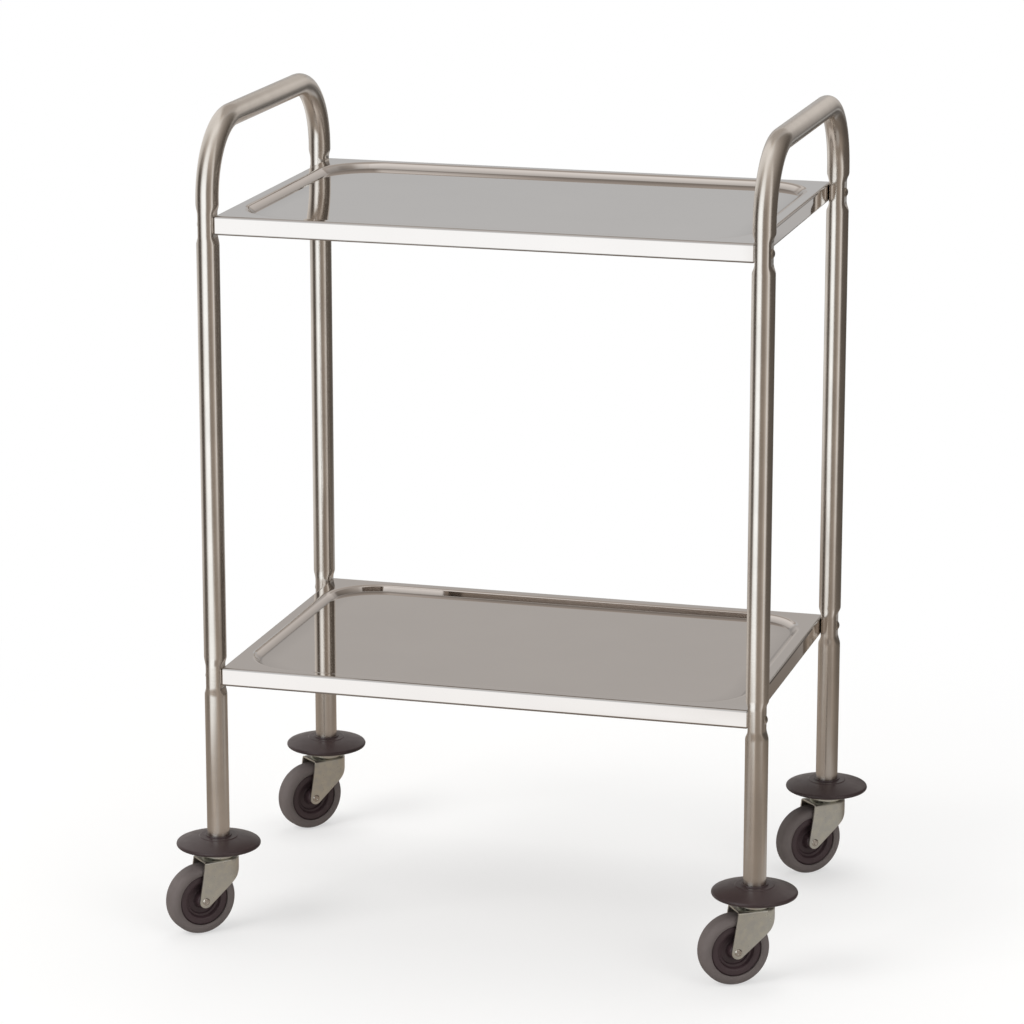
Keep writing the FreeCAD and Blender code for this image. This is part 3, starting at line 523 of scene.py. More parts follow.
FINISHES = {
    "frame_tube": (satin_polished_stainless_tube, "tube"),
    "tray_steel": (mirror_polished_stainless_sheet, "tray"),
    "screw_steel": (nickel_plated_steel, "screw"),
    "fastener_steel": (turned_steel, "screw"),
    "castor_steel": (zinc_plated_pressed_steel, "plated"),
    "bumper_rubber": (moulded_bumper_rubber, "bumper"),
    "tyre_rubber": (moulded_tyre_rubber, "tyre"),
    "hub_plastic": (moulded_polypropylene, "hub"),
    "plug_plastic": (moulded_nylon, "plug"),
}
made_finishes = {}


def finish(slot):
    """The material of a slot, made once and named for its maker."""
    if slot not in made_finishes:
        maker, colour = FINISHES[slot]
        material = bpy.data.materials.new(maker.__name__)
        tree = emptied(material)
        place = add_node(tree, "TexCoord").outputs["Object"]
        colours = bpy.context.scene.trolley_colours
        shader = add_node(tree, "BsdfPrincipled",
                          maker(tree, place, tuple(getattr(colours, colour))))
        add_node(tree, "OutputMaterial", {"Surface": shader})
        made_finishes[slot] = material
    return made_finishes[slot]


# Side frames

def pressed(height, centres, sizes):
    """How far a tube's sides are pressed in at a height.

    It is the full depth over each flat, and runs out by half a cosine wave.
    """
    gap = np.abs(height[:, None] - np.asarray(centres)[None, :]) - sizes.dent_flat
    share = np.clip(gap / sizes.dent_runout, 0, 1)
    return (sizes.dent * (1 + np.cos(math.pi * share)) / 2).max(axis=1)


def tube_skin(radius, across, path, normal, press):
    """A round section carried along a path in a plane of constant X, flattened where pressed.

    Across the plane, x = a / (1 + k |a|^p)^(1/p) with a = radius cos t, where k makes the
    widest point radius less the press. In the plane it is radius sin t, swollen a little.
    """
    power, swell_share = 9, 0.16
    angle = np.linspace(0, 2 * math.pi, across, endpoint=False)
    sideways, outwards = radius * np.cos(angle), radius * np.sin(angle)
    k = ((radius / (radius - press)) ** power - 1) / radius ** power
    x = sideways / (1 + k[:, None] * np.abs(sideways) ** power) ** (1 / power)
    swollen = outwards * (1 + swell_share * press[:, None] / radius)
    plane = path[:, None, :] + swollen[..., None] * normal[:, None, :]
    return np.concatenate([x[..., None], plane], axis=-1)


def side_frame(node, sizes, flange, columns):
    """Outer and inner skins of one bent tube, joined at its two cut ends.

    The path runs up the front leg, round a quarter circle, along the handle, round the other
    quarter circle and down the rear leg. Its length so far goes with each ring.
    """
    low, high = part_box(node)
    radius = sizes.tube / 2
    leg = high.y - radius
    bar = high.z - radius
    shoulder = bar - sizes.bend
    centres = [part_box(tray)[1].z - flange / 2 for tray in TRAYS]
    reach = sizes.dent_flat + sizes.dent_runout
    leg_rows, dent_rows, bend_rows = 22, 47, 36
    heights = np.unique(np.concatenate(
        [np.linspace(low.z, shoulder, leg_rows)]
        + [np.linspace(centre - reach, centre + reach, dent_rows) for centre in centres]))
    front = stacked(-leg, heights)
    turn = arc((sizes.bend - leg, shoulder), sizes.bend, 180, 90, bend_rows)
    half = np.concatenate([front, turn[1:]])
    facing = np.radians(np.concatenate([
        np.full(len(heights), 180), np.linspace(180, 90, bend_rows)[1:]]))
    half_normal = stacked(np.cos(facing), np.sin(facing))
    mirror = np.array([-1.0, 1.0])
    path = np.concatenate([half, half[::-1] * mirror])
    normal = np.concatenate([half_normal, half_normal[::-1] * mirror])
    press = pressed(path[:, 1], centres, sizes)
    press[np.abs(path[:, 0]) < leg - MERGE] = 0
    steps = np.linalg.norm(np.diff(path, axis=0), axis=1)
    along = np.concatenate([[0.0], np.cumsum(steps)])[:, None]
    outer = tube_skin(radius, columns, path, normal, press)
    inside = tube_skin(radius - sizes.wall, columns, path, normal, press)
    skin = np.concatenate([outer, inside[::-1]])
    skin[..., 0] += (low.x + high.x) / 2
    return skin, {"along": np.concatenate([along, along[::-1]])}


class TROLLEY_OT_side_frames(bpy.types.Operator):
    """Two stainless tubes bent into an inverted U, pressed in where the trays meet them"""
    bl_idname = "trolley.side_frames"
    bl_label = "Side Frames"

    def execute(self, context):
        scene = context.scene
        for node in ("left_side_frame", "right_side_frame"):
            skin, fields = side_frame(node, scene.trolley_frame, scene.trolley_trays.flange,
                                      scene.trolley_steps.tube)
            mesh = make_mesh(node + "_tube", [(skin, True, True)], fields=fields)
            add_piece(node + "_tube", mesh, "frame", "frame_tube", node)
        return {"FINISHED"}


# Trays

def rounded_rings(half_x, half_y, radius, height, corner_steps, side_steps):
    """Level rings, each a rectangle whose corners are quarter circles.

    Corner points are the corner's centre + radius (cos, sin), and each straight side is
    divided evenly between them.
    """
    quarter = np.linspace(0, math.pi / 2, corner_steps)
    angle = np.arange(4)[:, None] * math.pi / 2 + quarter[None, :]
    across = np.array([1, -1, -1, 1])[None, :, None]
    deep = np.array([1, 1, -1, -1])[None, :, None]
    half_x, half_y, radius = [size[:, None, None] for size in (half_x, half_y, radius)]
    corners = stacked(across * (half_x - radius) + radius * np.cos(angle),
                      deep * (half_y - radius) + radius * np.sin(angle))
    share = np.linspace(0, 1, side_steps + 2)[1:-1]
    ends, starts = corners[:, :, -1:], np.roll(corners, -1, axis=1)[:, :, :1]
    sides = ends * (1 - share[:, None]) + starts * share[:, None]
    plan = np.concatenate([corners, sides], axis=2).reshape(len(height), -1, 2)
    return stacked(plan[..., 0], plan[..., 1], height[:, None])


def tray_section(sizes):
    """Half section of the sheet as (inset from the outside, height below the border).

    It runs over the top from the floor, up the slope, along the border, over the fold, down
    the flange and in along the lip, and back along the underside, where each bend's corner
    lies half the bend's angle further round and its radius is a sheet more or less.
    """
    sheet, fold, flange, depth = sizes.sheet, sizes.fold, sizes.flange, sizes.depth
    foot = sizes.inset + depth / math.tan(sizes.slope)
    shift = sheet * math.tan(sizes.slope / 2)
    floor = foot + sizes.foot
    cut = sheet * 0.49  # rounds the lip's cut edge
    return soften([
        [floor, -depth, 0], [foot, -depth, sizes.foot], [sizes.inset, 0, sizes.brim],
        [0, 0, fold], [0, -flange, fold], [sizes.lip, -flange, cut],
        [sizes.lip, sheet - flange, cut], [sheet, sheet - flange, fold - sheet],
        [sheet, -sheet, fold - sheet], [sizes.inset - shift, -sheet, sizes.brim - sheet],
        [foot - shift, -depth - sheet, sizes.foot + sheet],
        [floor, -depth - sheet, 0]], steps=11, support=0.2 * MM)


def tray_rings(node, sizes):
    """Rings of one tray, the section carried round the plan, and its fields.

    Near the outside the plan's corner radius is the flange's less the inset, and from the
    border inwards it is the step's corner radius less how far in the ring lies. The first
    half of the section is the polished side and the second the dull underside. On the polished
    side, shade is painted within the foot's radius of the foot and on the arcs of the two folds.
    """
    low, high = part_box(node)
    half_x, half_y = (high.x - low.x) / 2, (high.y - low.y) / 2
    section = tray_section(sizes)
    inset = section[:, 0]
    least = 0.3 * MM
    folded = np.maximum(sizes.corner - inset, least)
    stepped = sizes.well_corner + sizes.inset - inset
    radius = np.where(inset > sizes.lip + 1 * MM, stepped, folded)
    rings = rounded_rings(half_x - inset, half_y - inset, radius, section[:, 1],
                          corner_steps=30, side_steps=9)
    shares = np.array([0.0, 0.35, 0.7, 0.93])[:, None]
    inwards = stacked(shares, shares, 1.0)
    rings = np.concatenate([rings[:1] * inwards, rings, rings[-1:] * inwards[::-1]])

    foot = sizes.inset + sizes.depth / math.tan(sizes.slope)
    from_foot = np.abs(inset - foot) / sizes.foot
    level = section[:, 1]
    # painted shade on the polished side: in the crease at the step's foot and on the folds' arcs
    on_foot = np.clip(1.3 - from_foot, 0, 1) * (level < -0.8 * sizes.depth)
    fold = 0.95 * sizes.fold
    on_folds = (inset < fold) * ((level > -fold) | (level < fold - sizes.flange))
    foot_painted_shade, fold_painted_shade = 0.7, 0.75
    soiled = np.maximum(foot_painted_shade * on_foot, fold_painted_shade * on_folds)
    dull = np.arange(len(section)) >= len(section) / 2
    ends = len(shares)
    fields = {"soiled": np.pad(soiled * ~dull, ends)[:, None],
              "dull": np.pad(dull * 1.0, ends, "edge")[:, None]}
    return rings + (0, 0, high.z), fields


class TROLLEY_OT_trays(bpy.types.Operator):
    """Two pressed trays with a sunken floor, a rounded step, a flat border and a flange"""
    bl_idname = "trolley.trays"
    bl_label = "Trays"

    def execute(self, context):
        for node in TRAYS:
            rings, fields = tray_rings(node, context.scene.trolley_trays)
            mesh = make_mesh(node + "_pressing", [(rings, False, True)], fields=fields)
            add_piece(node + "_pressing", mesh, "frame", "tray_steel", node, sharp_from=50)
        return {"FINISHED"}


# Screws

def dome(head, rise, rim_share, steps):
    """Profile of a dome head from its rim to its middle: an arc through both."""
    rim = rise * rim_share
    height = rise - rim
    radius = (head ** 2 / 4 + height ** 2) / (2 * height)
    return bow((head / 2, rim), (0.0, rise), radius, steps)


def socket_head(head, rise, shank, reach, socket, depth, columns):
    """A dome-head screw with a hexagon socket, its head on Z = 0 and its shank below.

    Rows run up the shank, out under the head, over the dome to the socket's brim, down its
    six walls and in to the middle of its floor.
    """
    bevel = shank * 0.12
    edge = 0.3 * MM
    cap = dome(head, rise, rim_share=0.2, steps=12)
    corner = socket / math.sqrt(3)
    cap = cap[cap[:, 0] > corner * 1.12]
    brim = np.interp(corner, cap[::-1, 0], cap[::-1, 1])
    outside = np.concatenate([
        [[0, -reach], [shank / 2 - bevel, -reach], [shank / 2, bevel - reach],
         [shank / 2, 0], [head / 2 - edge, 0], [head / 2, edge]], cap])
    inside = np.array([
        [corner * 1.06, brim], [ROUND, brim - edge / 2], [ROUND, rise - depth],
        [corner * 0.5, rise - depth - edge], [0, rise - depth - edge]])
    flats = np.full(len(outside) + len(inside), ROUND)
    flats[len(outside):len(outside) + 4] = [socket * 1.1, socket, socket, socket]
    return turned(np.concatenate([outside, inside]), columns, flats)


def along_x(points, side):
    """Points turned so that local Z becomes +X for a side of 1, or -X for -1."""
    x, y, z = points[..., 0], points[..., 1], points[..., 2]
    return stacked(z * side, y, -x * side)


class TROLLEY_OT_tray_screws(bpy.types.Operator):
    """Dome-head screws with hexagon sockets, four to a tray"""
    bl_idname = "trolley.tray_screws"
    bl_label = "Tray Screws"

    def execute(self, context):
        sizes = context.scene.trolley_screws
        screw = socket_head(sizes.head, sizes.rise, sizes.shank, sizes.length, sizes.socket,
                            sizes.socket_depth, context.scene.trolley_steps.screw)
        for tray in TRAYS:
            node = tray + "_screws"
            low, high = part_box(node)
            seat = high.x - sizes.rise
            row = high.y - sizes.head / 2
            centre = (low.z + high.z) / 2
            patches = [(along_x(screw, side) + (seat * side, row * end, centre), False, True)
                       for side in (-1, 1) for end in (-1, 1)]
            mesh = make_mesh(node + "_domed", patches)
            add_piece(node + "_domed", mesh, "frame", "screw_steel", node)
        return {"FINISHED"}


# Castors

def castor_place(name):
    """Swivel centre, wheel centre and trail angle of one castor, from its packed nodes."""
    pin = middle_of(name + "_swivel_head")
    wheel = middle_of(name + "_tyre")
    angle = math.atan2(pin.y - wheel.y, pin.x - wheel.x)
    return (pin.x, pin.y), tuple(wheel), angle


def add_castor_pieces(label, node, body, slot, profile, columns, level=None):
    """The same turned piece on each castor: upright at a level, or laid down on the axle."""
    for name in CASTORS:
        pin, wheel, angle = castor_place(name)
        origin = wheel if level is None else (*pin, level)
        grid = placed(turned(profile, columns), angle, origin, lay_down=level is None)
        piece = name + label
        add_piece(piece, make_mesh(piece, [(grid, True, True)]), body.format(name), slot,
                  name + node)


def bumper_profile(sizes, tube):
    """Half section of the bumper disc about its mid-plane.

    Two domed faces are arcs of the crown radius that meet a round rim. On top a low ring and a
    lip stand round the tube, and below is the flat seat of the upper race.
    """
    rim, half = sizes.bumper_rim, sizes.bumper / 2
    centre = half - rim
    lean = rim * 0.35
    rise = math.sqrt(rim ** 2 - lean ** 2)
    seat, floor = 19.5 * MM, -9.0 * MM
    ring, ring_foot, ring_top = 22 * MM, 8.2 * MM, 9.1 * MM
    lip, ledge = 14.75 * MM, -3 * MM
    socket = tube / 2 + 0.1 * MM
    tilt = math.degrees(math.atan2(rise, lean))
    under = bow((seat, floor), (centre + lean, -rise), sizes.bumper_crown, 18)
    edge = arc((centre, 0), rim, -tilt, tilt, 15)
    over = bow((centre + lean, rise), (ring, ring_foot), sizes.bumper_crown, 18)
    return soften(np.concatenate([
        [[RACE_BORE, floor, 0.3 * MM]], plain(under[:-1]), plain(edge), plain(over[1:-1]),
        [[ring, ring_foot, 1.2 * MM], [ring - 0.9 * MM, ring_top, 1.2 * MM],
         [lip + 0.4 * MM, ring_top, 0.5 * MM], [lip, BUMPER_TOP, 0.5 * MM],
         [socket, BUMPER_TOP, 0.25 * MM], [socket, ledge, 0.3 * MM],
         [RACE_BORE, ledge, 0.3 * MM]]]))


class TROLLEY_OT_bumper_discs(bpy.types.Operator):
    """Lens-shaped rubber discs round the ends of the legs"""
    bl_idname = "trolley.bumper_discs"
    bl_label = "Bumper Discs"

    def execute(self, context):
        scene = context.scene
        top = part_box("front_left_bumper_disc")[1].z
        profile = bumper_profile(scene.trolley_castors, scene.trolley_frame.tube)
        add_castor_pieces("_bumper", "_bumper_disc", "frame", "bumper_rubber", profile,
                          scene.trolley_steps.wheel, level=top - BUMPER_TOP)
        return {"FINISHED"}


def race_track(level, side, steps):
    """Section of the balls' groove, from its inner to its outer edge at a level.

    It is an arc of the groove's radius whose centre lies half the gap from that level.
    """
    over = 1.0001  # keeps the root in bow real even without a gap
    reach = math.sqrt(RACE_GROOVE ** 2 - RACE_GAP ** 2)
    return bow((RACE_PITCH - reach, level), (RACE_PITCH + reach, level),
               side * RACE_GROOVE * over, steps)


def race_profile():
    """Half section of the upper race: a rolled ring with the balls' groove below."""
    rim, height = 19 * MM, 5.8 * MM
    return soften(np.concatenate([
        [[RACE_BORE, 0, 0.2 * MM]], plain(race_track(0.0, -1, 14)),
        [[rim - 1.5 * MM, 0, 0.5 * MM], [rim, 1.5 * MM, 0.9 * MM],
         [rim, height, 0.4 * MM], [RACE_BORE, height, 0.3 * MM]]]))


class TROLLEY_OT_swivel_heads(bpy.types.Operator):
    """Upper ball races under the bumper discs"""
    bl_idname = "trolley.swivel_heads"
    bl_label = "Swivel Heads"

    def execute(self, context):
        add_castor_pieces("_race", "_swivel_head", "frame", "castor_steel", race_profile(),
                          context.scene.trolley_steps.race,
                          level=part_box("front_left_swivel_head")[0].z)
        return {"FINISHED"}


def hub_profile(sizes):
    """Half section of the hub about its middle: boss, sloping recess, web, step and rim."""
    rim, web, boss = sizes.rim_width / 2, sizes.web / 2, sizes.boss / 2
    inner, outer = sizes.rim_inner / 2, sizes.seat / 2
    boss_end, bore, step, nick = 13.6 * MM, 4.58 * MM, 2.2 * MM, 1.2 * MM
    half = [
        [bore, boss_end, 0.5 * MM], [boss - 1.8 * MM, boss_end, 0.8 * MM],
        [boss, boss_end - 2.2 * MM, 1.0 * MM], [boss + 1.5 * MM, web, 1.5 * MM],
        [inner - 4.5 * MM, web, 1.0 * MM], [inner - 4.0 * MM, web + step, 0.8 * MM],
        [inner - 1.5 * MM, web + step + 0.4 * MM, 0.9 * MM], [inner, rim - 0.6 * MM, 0.7 * MM],
        [inner + 2.0 * MM, rim, 1.0 * MM], [outer - nick - 0.5 * MM, rim, 0.5 * MM],
        [outer, rim - nick, 0.3 * MM]]
    other = [[r, -h, radius] for r, h, radius in half[::-1]]
    return soften(half + other)


class TROLLEY_OT_wheel_hubs(bpy.types.Operator):
    """Moulded hubs with a boss, a sunken web and a rim"""
    bl_idname = "trolley.wheel_hubs"
    bl_label = "Wheel Hubs"

    def execute(self, context):
        profile = hub_profile(context.scene.trolley_wheels)
        add_castor_pieces("_hub", "_wheel_hub", "{}_wheel", "hub_plastic", profile,
                          context.scene.trolley_steps.wheel)
        return {"FINISHED"}


def tyre_profile(sizes):
    """Half section of the tyre about its middle: a low tread between round shoulders."""
    outer, half = sizes.diameter / 2, sizes.width / 2
    inner = sizes.seat / 2 + 0.1 * MM
    shoulder = sizes.shoulder
    side = np.array([
        [outer, half - shoulder, 0.3 * MM],
        [outer - 0.15 * MM, half - shoulder * 0.82, 1.5 * MM]])
    corner = arc((outer - shoulder, half - shoulder), shoulder - 0.02 * MM, 14, 90, 16)
    upper = np.concatenate([side, plain(corner), [[inner, half * 0.9, 0.3 * MM]]])
    lower = upper[::-1] * np.array([1.0, -1.0, 1.0])
    return soften(np.concatenate([upper, lower]))


class TROLLEY_OT_tyres(bpy.types.Operator):
    """Grey rubber tyres with round shoulders"""
    bl_idname = "trolley.tyres"
    bl_label = "Tyres"

    def execute(self, context):
        profile = tyre_profile(context.scene.trolley_wheels)
        add_castor_pieces("_rubber", "_tyre", "{}_wheel", "tyre_rubber", profile,
                          context.scene.trolley_steps.wheel)
        return {"FINISHED"}


def tangent_point(centre, radius, outside, side):
    """Where a line from a point outside a circle touches it, left (1) or right (-1).

    With d from the centre to the point, it is (r^2 d + r sqrt(d^2 - r^2) perp d) / d^2 from
    the centre.
    """
    to = outside - centre
    square = to @ to
    across = np.array([-to[1], to[0]]) * side
    run = math.sqrt(square - radius ** 2)
    return centre + (radius ** 2 * to + radius * run * across) / square


def fork_edge(sizes, top):
    """Lower edge of the fork in side view, from the front of the bend round to the back.

    It is the front line, tangent to the tip's circle about the axle, the arc of the tip, the
    rising line to the skirt and the skirt's round corner, which ends upright.
    """
    axle, crown = np.array([-sizes.lead, 0.0]), sizes.crown
    reach, low, drop = 37 * MM, 21 * MM, 4 * MM
    apex = axle + (0, crown)
    front = tangent_point(axle, sizes.tip, apex, 1)
    start = apex + (front - apex) * (crown - top) / (crown - front[1])
    knee = axle + (reach, low)
    back = tangent_point(axle, sizes.tip, knee, -1)
    angles = [math.degrees(math.atan2(*(point - axle)[::-1])) for point in (front, back)]
    end = np.array([sizes.crown_reach + sizes.half_width, crown - drop])
    across, rise = end - knee
    return np.concatenate([
        start + (front - start) * np.linspace(0, 1, 14)[:, None],
        arc(axle, sizes.tip, angles[0], angles[1] + 360, 16)[1:],
        back + (knee - back) * np.linspace(0, 1, 16)[1:, None],
        bow(knee, end, (rise ** 2 + across ** 2) / (2 * across), 22)[1:]])


def fork_place(run, half_width, centre, side, inset=0.0):
    """Plan of the fork's leg at a developed length: straight, then a quarter circle.

    Ahead of the round back's centre c the length is x itself. Behind it an arc of the
    length s follows, so x = c + w sin(s / w) and y = w cos(s / w), with w the half width.
    """
    angle = np.clip((run - centre) / half_width, 0, math.pi / 2)
    width = half_width - inset
    return (np.where(run < centre, run, centre + width * np.sin(angle)),
            np.where(run < centre, width, width * np.cos(angle)) * side)


def fork_patches(sizes):
    """Outer skin of the fork: the crown with its ball race, and the wall with its bends.

    Each column of the wall goes a quarter circle of the bend's radius over the crown's edge
    and then evenly, in developed length and in height, to the lower edge. Ahead of the round
    back the columns fan out at the crown by how far along the lower edge they end. The
    crown's rings are circles out to the rim of the race, joined to the crown's edge.
    """
    width, fold, crown = sizes.half_width, sizes.fold, sizes.crown
    centre = sizes.crown_reach
    top = crown - fold
    edge = fork_edge(sizes, top)
    behind = np.clip((edge[:, 0] - centre) / width, 0, 1)
    lower_run = np.where(edge[:, 0] > centre, centre + width * np.arcsin(behind), edge[:, 0])
    travel = np.concatenate([[0.0], np.cumsum(np.linalg.norm(np.diff(edge, axis=0), axis=1))])
    column = np.arange(len(edge))
    fan_end, on_tip = -8 * MM, 20  # the fan's end, and a column in the arc of the tip
    join = np.argmax((lower_run > fan_end) & (column > on_tip))
    fanned = edge[0, 0] + (lower_run[join] - edge[0, 0]) * travel / travel[join]
    upper_run = np.where(column < join, fanned, lower_run)
    brow_run = upper_run.copy()
    lean = -sizes.lead - edge[0, 0]
    brow_run[:join] += lean * (1 - travel[:join] / travel[join])

    bends = np.linspace(0, math.pi / 2, 8)[:, None]
    out, down = np.sin(bends), 1 - np.cos(bends)
    shares = np.linspace(0, 1, 15)[1:, None]
    bend_run = brow_run * (1 - out ** 2) + upper_run * out ** 2
    wall_run = upper_run * (1 - shares) + lower_run * shares
    wall_level = top * (1 - shares) + edge[:, 1] * shares
    walls = [np.concatenate([
        stacked(*fork_place(bend_run, width, centre, side, fold * (1 - out)),
                crown - fold * down),
        stacked(*fork_place(wall_run, width, centre, side), wall_level)]) for side in (1, -1)]
    wall = np.concatenate([walls[0], walls[1][:, ::-1][:, 1:]], axis=1)

    brow = wall[0]
    across = np.linspace(0, 1, 14)[1:-1, None]
    front = brow[-1] + (brow[0] - brow[-1]) * across
    outline = np.concatenate([brow, front])
    hole = RACE_BORE - 0.02 * MM
    rows = np.concatenate([[[hole, crown]], race_track(crown, 1, 13)])
    angle = np.arctan2(outline[:, 1], outline[:, 0])
    radius, level = rows[:, :1], rows[:, 1:]
    rings = stacked(radius * np.cos(angle), radius * np.sin(angle), level)
    return [(np.concatenate([rings, outline[None]]), False, True), (wall, False, False)]


class TROLLEY_OT_forks(bpy.types.Operator):
    """Zinc plated forks pressed from one sheet, with the lower ball race in the crown"""
    bl_idname = "trolley.forks"
    bl_label = "Forks"

    def execute(self, context):
        sizes = context.scene.trolley_castors
        patches = fork_patches(sizes)
        for name in CASTORS:
            pin, wheel, angle = castor_place(name)
            moved = [(placed(grid, angle, (*pin, wheel[2])), rows, columns)
                     for grid, rows, columns in patches]
            piece = name + "_fork_pressing"
            mesh = make_mesh(piece, moved, closed=False)
            crown = max(mesh.polygons, key=lambda face: face.center.z)
            if crown.normal.z < 0:
                mesh.flip_normals()
            mesh = with_modifiers(piece, mesh, [
                ("SOLIDIFY", {"thickness": sizes.sheet, "offset": -1.0,
                              "use_even_offset": True}),
                ("BEVEL", {"width": 0.3 * MM, "segments": 2, "limit_method": "ANGLE",
                           "angle_limit": math.radians(50), "harden_normals": False})])
            add_piece(piece, mesh, name + "_castor", "castor_steel", name + "_fork")
        return {"FINISHED"}


def hex_nut(flats, height, bore, columns):
    """A hexagon nut standing on Z = 0, its corners cut back by a cone at both faces."""
    corner = flats / math.sqrt(3)
    face = flats / 2 * 0.97
    chamfer = (corner - face) * math.tan(math.radians(30))
    bevel = 0.3 * MM
    half = [[bore, bevel], [bore + bevel, 0], [face, 0], [corner, chamfer]]
    rows = np.array(half + [[r, height - z] for r, z in half[::-1]])
    return turned(rows, columns, np.full(len(rows), flats))


class TROLLEY_OT_axle_bolts(bpy.types.Operator):
    """Axle bolts with dome heads on one side of the fork and hexagon nuts on the other"""
    bl_idname = "trolley.axle_bolts"
    bl_label = "Axle Bolts"

    def execute(self, context):
        sizes = context.scene.trolley_castors
        columns = context.scene.trolley_steps.screw
        seat = sizes.half_width
        rise, socket, depth, tail = 2.4 * MM, 3.98 * MM, 1.6 * MM, 1.2 * MM
        flats, nut_height, bore = 10 * MM, 5 * MM, 3.1 * MM
        bolt = socket_head(sizes.axle_head, rise, sizes.axle, 2 * seat + nut_height + tail,
                           socket, depth, columns) + (0, 0, seat)
        nut = hex_nut(flats, nut_height, bore, columns) - (0, 0, seat + nut_height)
        for name in CASTORS:
            _, wheel, angle = castor_place(name)
            for label, grid, wraps in (("_axle_bolt", bolt, False), ("_axle_nut", nut, True)):
                node = name + label
                mesh = make_mesh(node + "_turned", [
                    (placed(grid, angle, wheel, lay_down=True), wraps, True)])
                add_piece(node + "_turned", mesh, name + "_castor", "screw_steel", node)
        return {"FINISHED"}


INNER_NODES = ("washers", "nuts", "tube_plug", "stem", "race_balls", "axle_sleeve")


class TROLLEY_OT_inner_parts(bpy.types.Operator):
    """Finishes for the packed pieces that stay: washers, nuts, stems, balls and sleeves"""
    bl_idname = "trolley.inner_parts"
    bl_label = "Inner Parts"

    def execute(self, context):
        for name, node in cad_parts.items():
            kind = next((kind for kind in INNER_NODES if name.endswith(kind)), None)
            if kind is None:
                if not node.hide_render:
                    raise RuntimeError(name + " has no finish")
                continue
            material = finish("plug_plastic" if kind == "tube_plug" else "fastener_steel")
            for material_slot in node.material_slots:
                material_slot.material = material
        return {"FINISHED"}


# Stage

# Bands of light round the trolley: bearing in degrees, level and warmth
INNER_FLOOR = (
    (-180, 0.35, 1.0), (-130, 0.36, 1.0), (-95, 0.28, 0.9), (-66, 0.38, 0.6), (-50, 0.46, 0.4),
    (-38, 0.44, 0.4), (-24, 0.34, 0.9), (0, 0.32, 0.9), (30, 0.32, 0.9), (42, 0.42, 0.4),
    (95, 0.44, 0.4), (110, 0.24, 0.8), (140, 0.20, 1.0), (180, 0.35, 1.0))
NEAR_FLOOR = (
    (-180, 0.35, 1.0), (-130, 0.36, 1.0), (-95, 0.28, 1.0), (-66, 0.32, 1.0), (-50, 0.44, 1.0),
    (-38, 0.35, 1.0), (-22, 0.32, 1.0), (-8, 0.43, 1.0), (0, 0.44, 1.0), (12, 0.28, 1.0),
    (45, 0.25, 1.0), (60, 0.35, 1.0), (75, 0.28, 1.0), (100, 0.20, 1.0), (140, 0.20, 1.0),
    (170, 0.28, 1.0), (180, 0.35, 1.0))
MID_FLOOR = (
    (-180, 0.35, 0.8), (-130, 0.39, 0.8), (-95, 0.27, 1.0), (-70, 0.28, 0.8), (-60, 1.17, -0.1),
    (-8, 1.17, -0.1), (-2, 0.36, 1.0), (45, 0.27, 1.0), (60, 0.33, 1.0), (75, 0.25, 1.0),
    (100, 0.17, 1.0), (138, 0.22, 0.8), (144, 0.43, 0.15), (156, 0.43, 0.15), (162, 0.40, 0.4),
    (180, 0.40, 0.8))
STRIPES = (
    (-150, 0.75, 0.2), (-112, 0.60, 0.3), (-100, 0.32, 0.6), (-94, 0.10, 0.9), (-71, 0.08, 0.9),
    (-64, 0.48, 0.3), (-58, 0.90, -0.1), (-47, 1.22, -0.2), (-20, 1.22, -0.2), (-16, 0.72, 0.1),
    (-12, 0.33, 0.7), (-7, 0.27, 1.0), (14, 0.28, 1.0), (26, 0.38, 0.8), (35, 0.55, 0.6),
    (41, 0.85, 0.2), (50, 0.80, 0.2), (56, 0.36, 0.7), (62, 0.13, 0.9), (134, 0.10, 0.9),
    (142, 0.16, 0.6))


def backdrop(level, warmth, side, start=166):
    """Bands of a plain ring: its own level behind the trolley and another right of that."""
    return ((-180, level, warmth), (-164, level, warmth), (-155, 0.80, 0.3), (-60, 0.95, 0.2),
            (-10, 0.72, 0.4), (60, 0.55, 0.5), (136, 0.42, 0.6), (142, side, 0.4),
            (start - 6, side, 0.4), (start, level, warmth), (180, level, warmth))


def card(side):
    """Bands of a low ring with a small pale card in it, behind the trolley on its right."""
    return ((-180, 0.50, 0.4), (141, side, 0.6), (144, 0.50, 0.1), (148, 0.50, 0.1),
            (151, side, 0.6), (162, side, 0.6), (168, 0.50, 0.4), (180, 0.50, 0.4))


WARM = np.array([1.0, 0.84, 0.71])
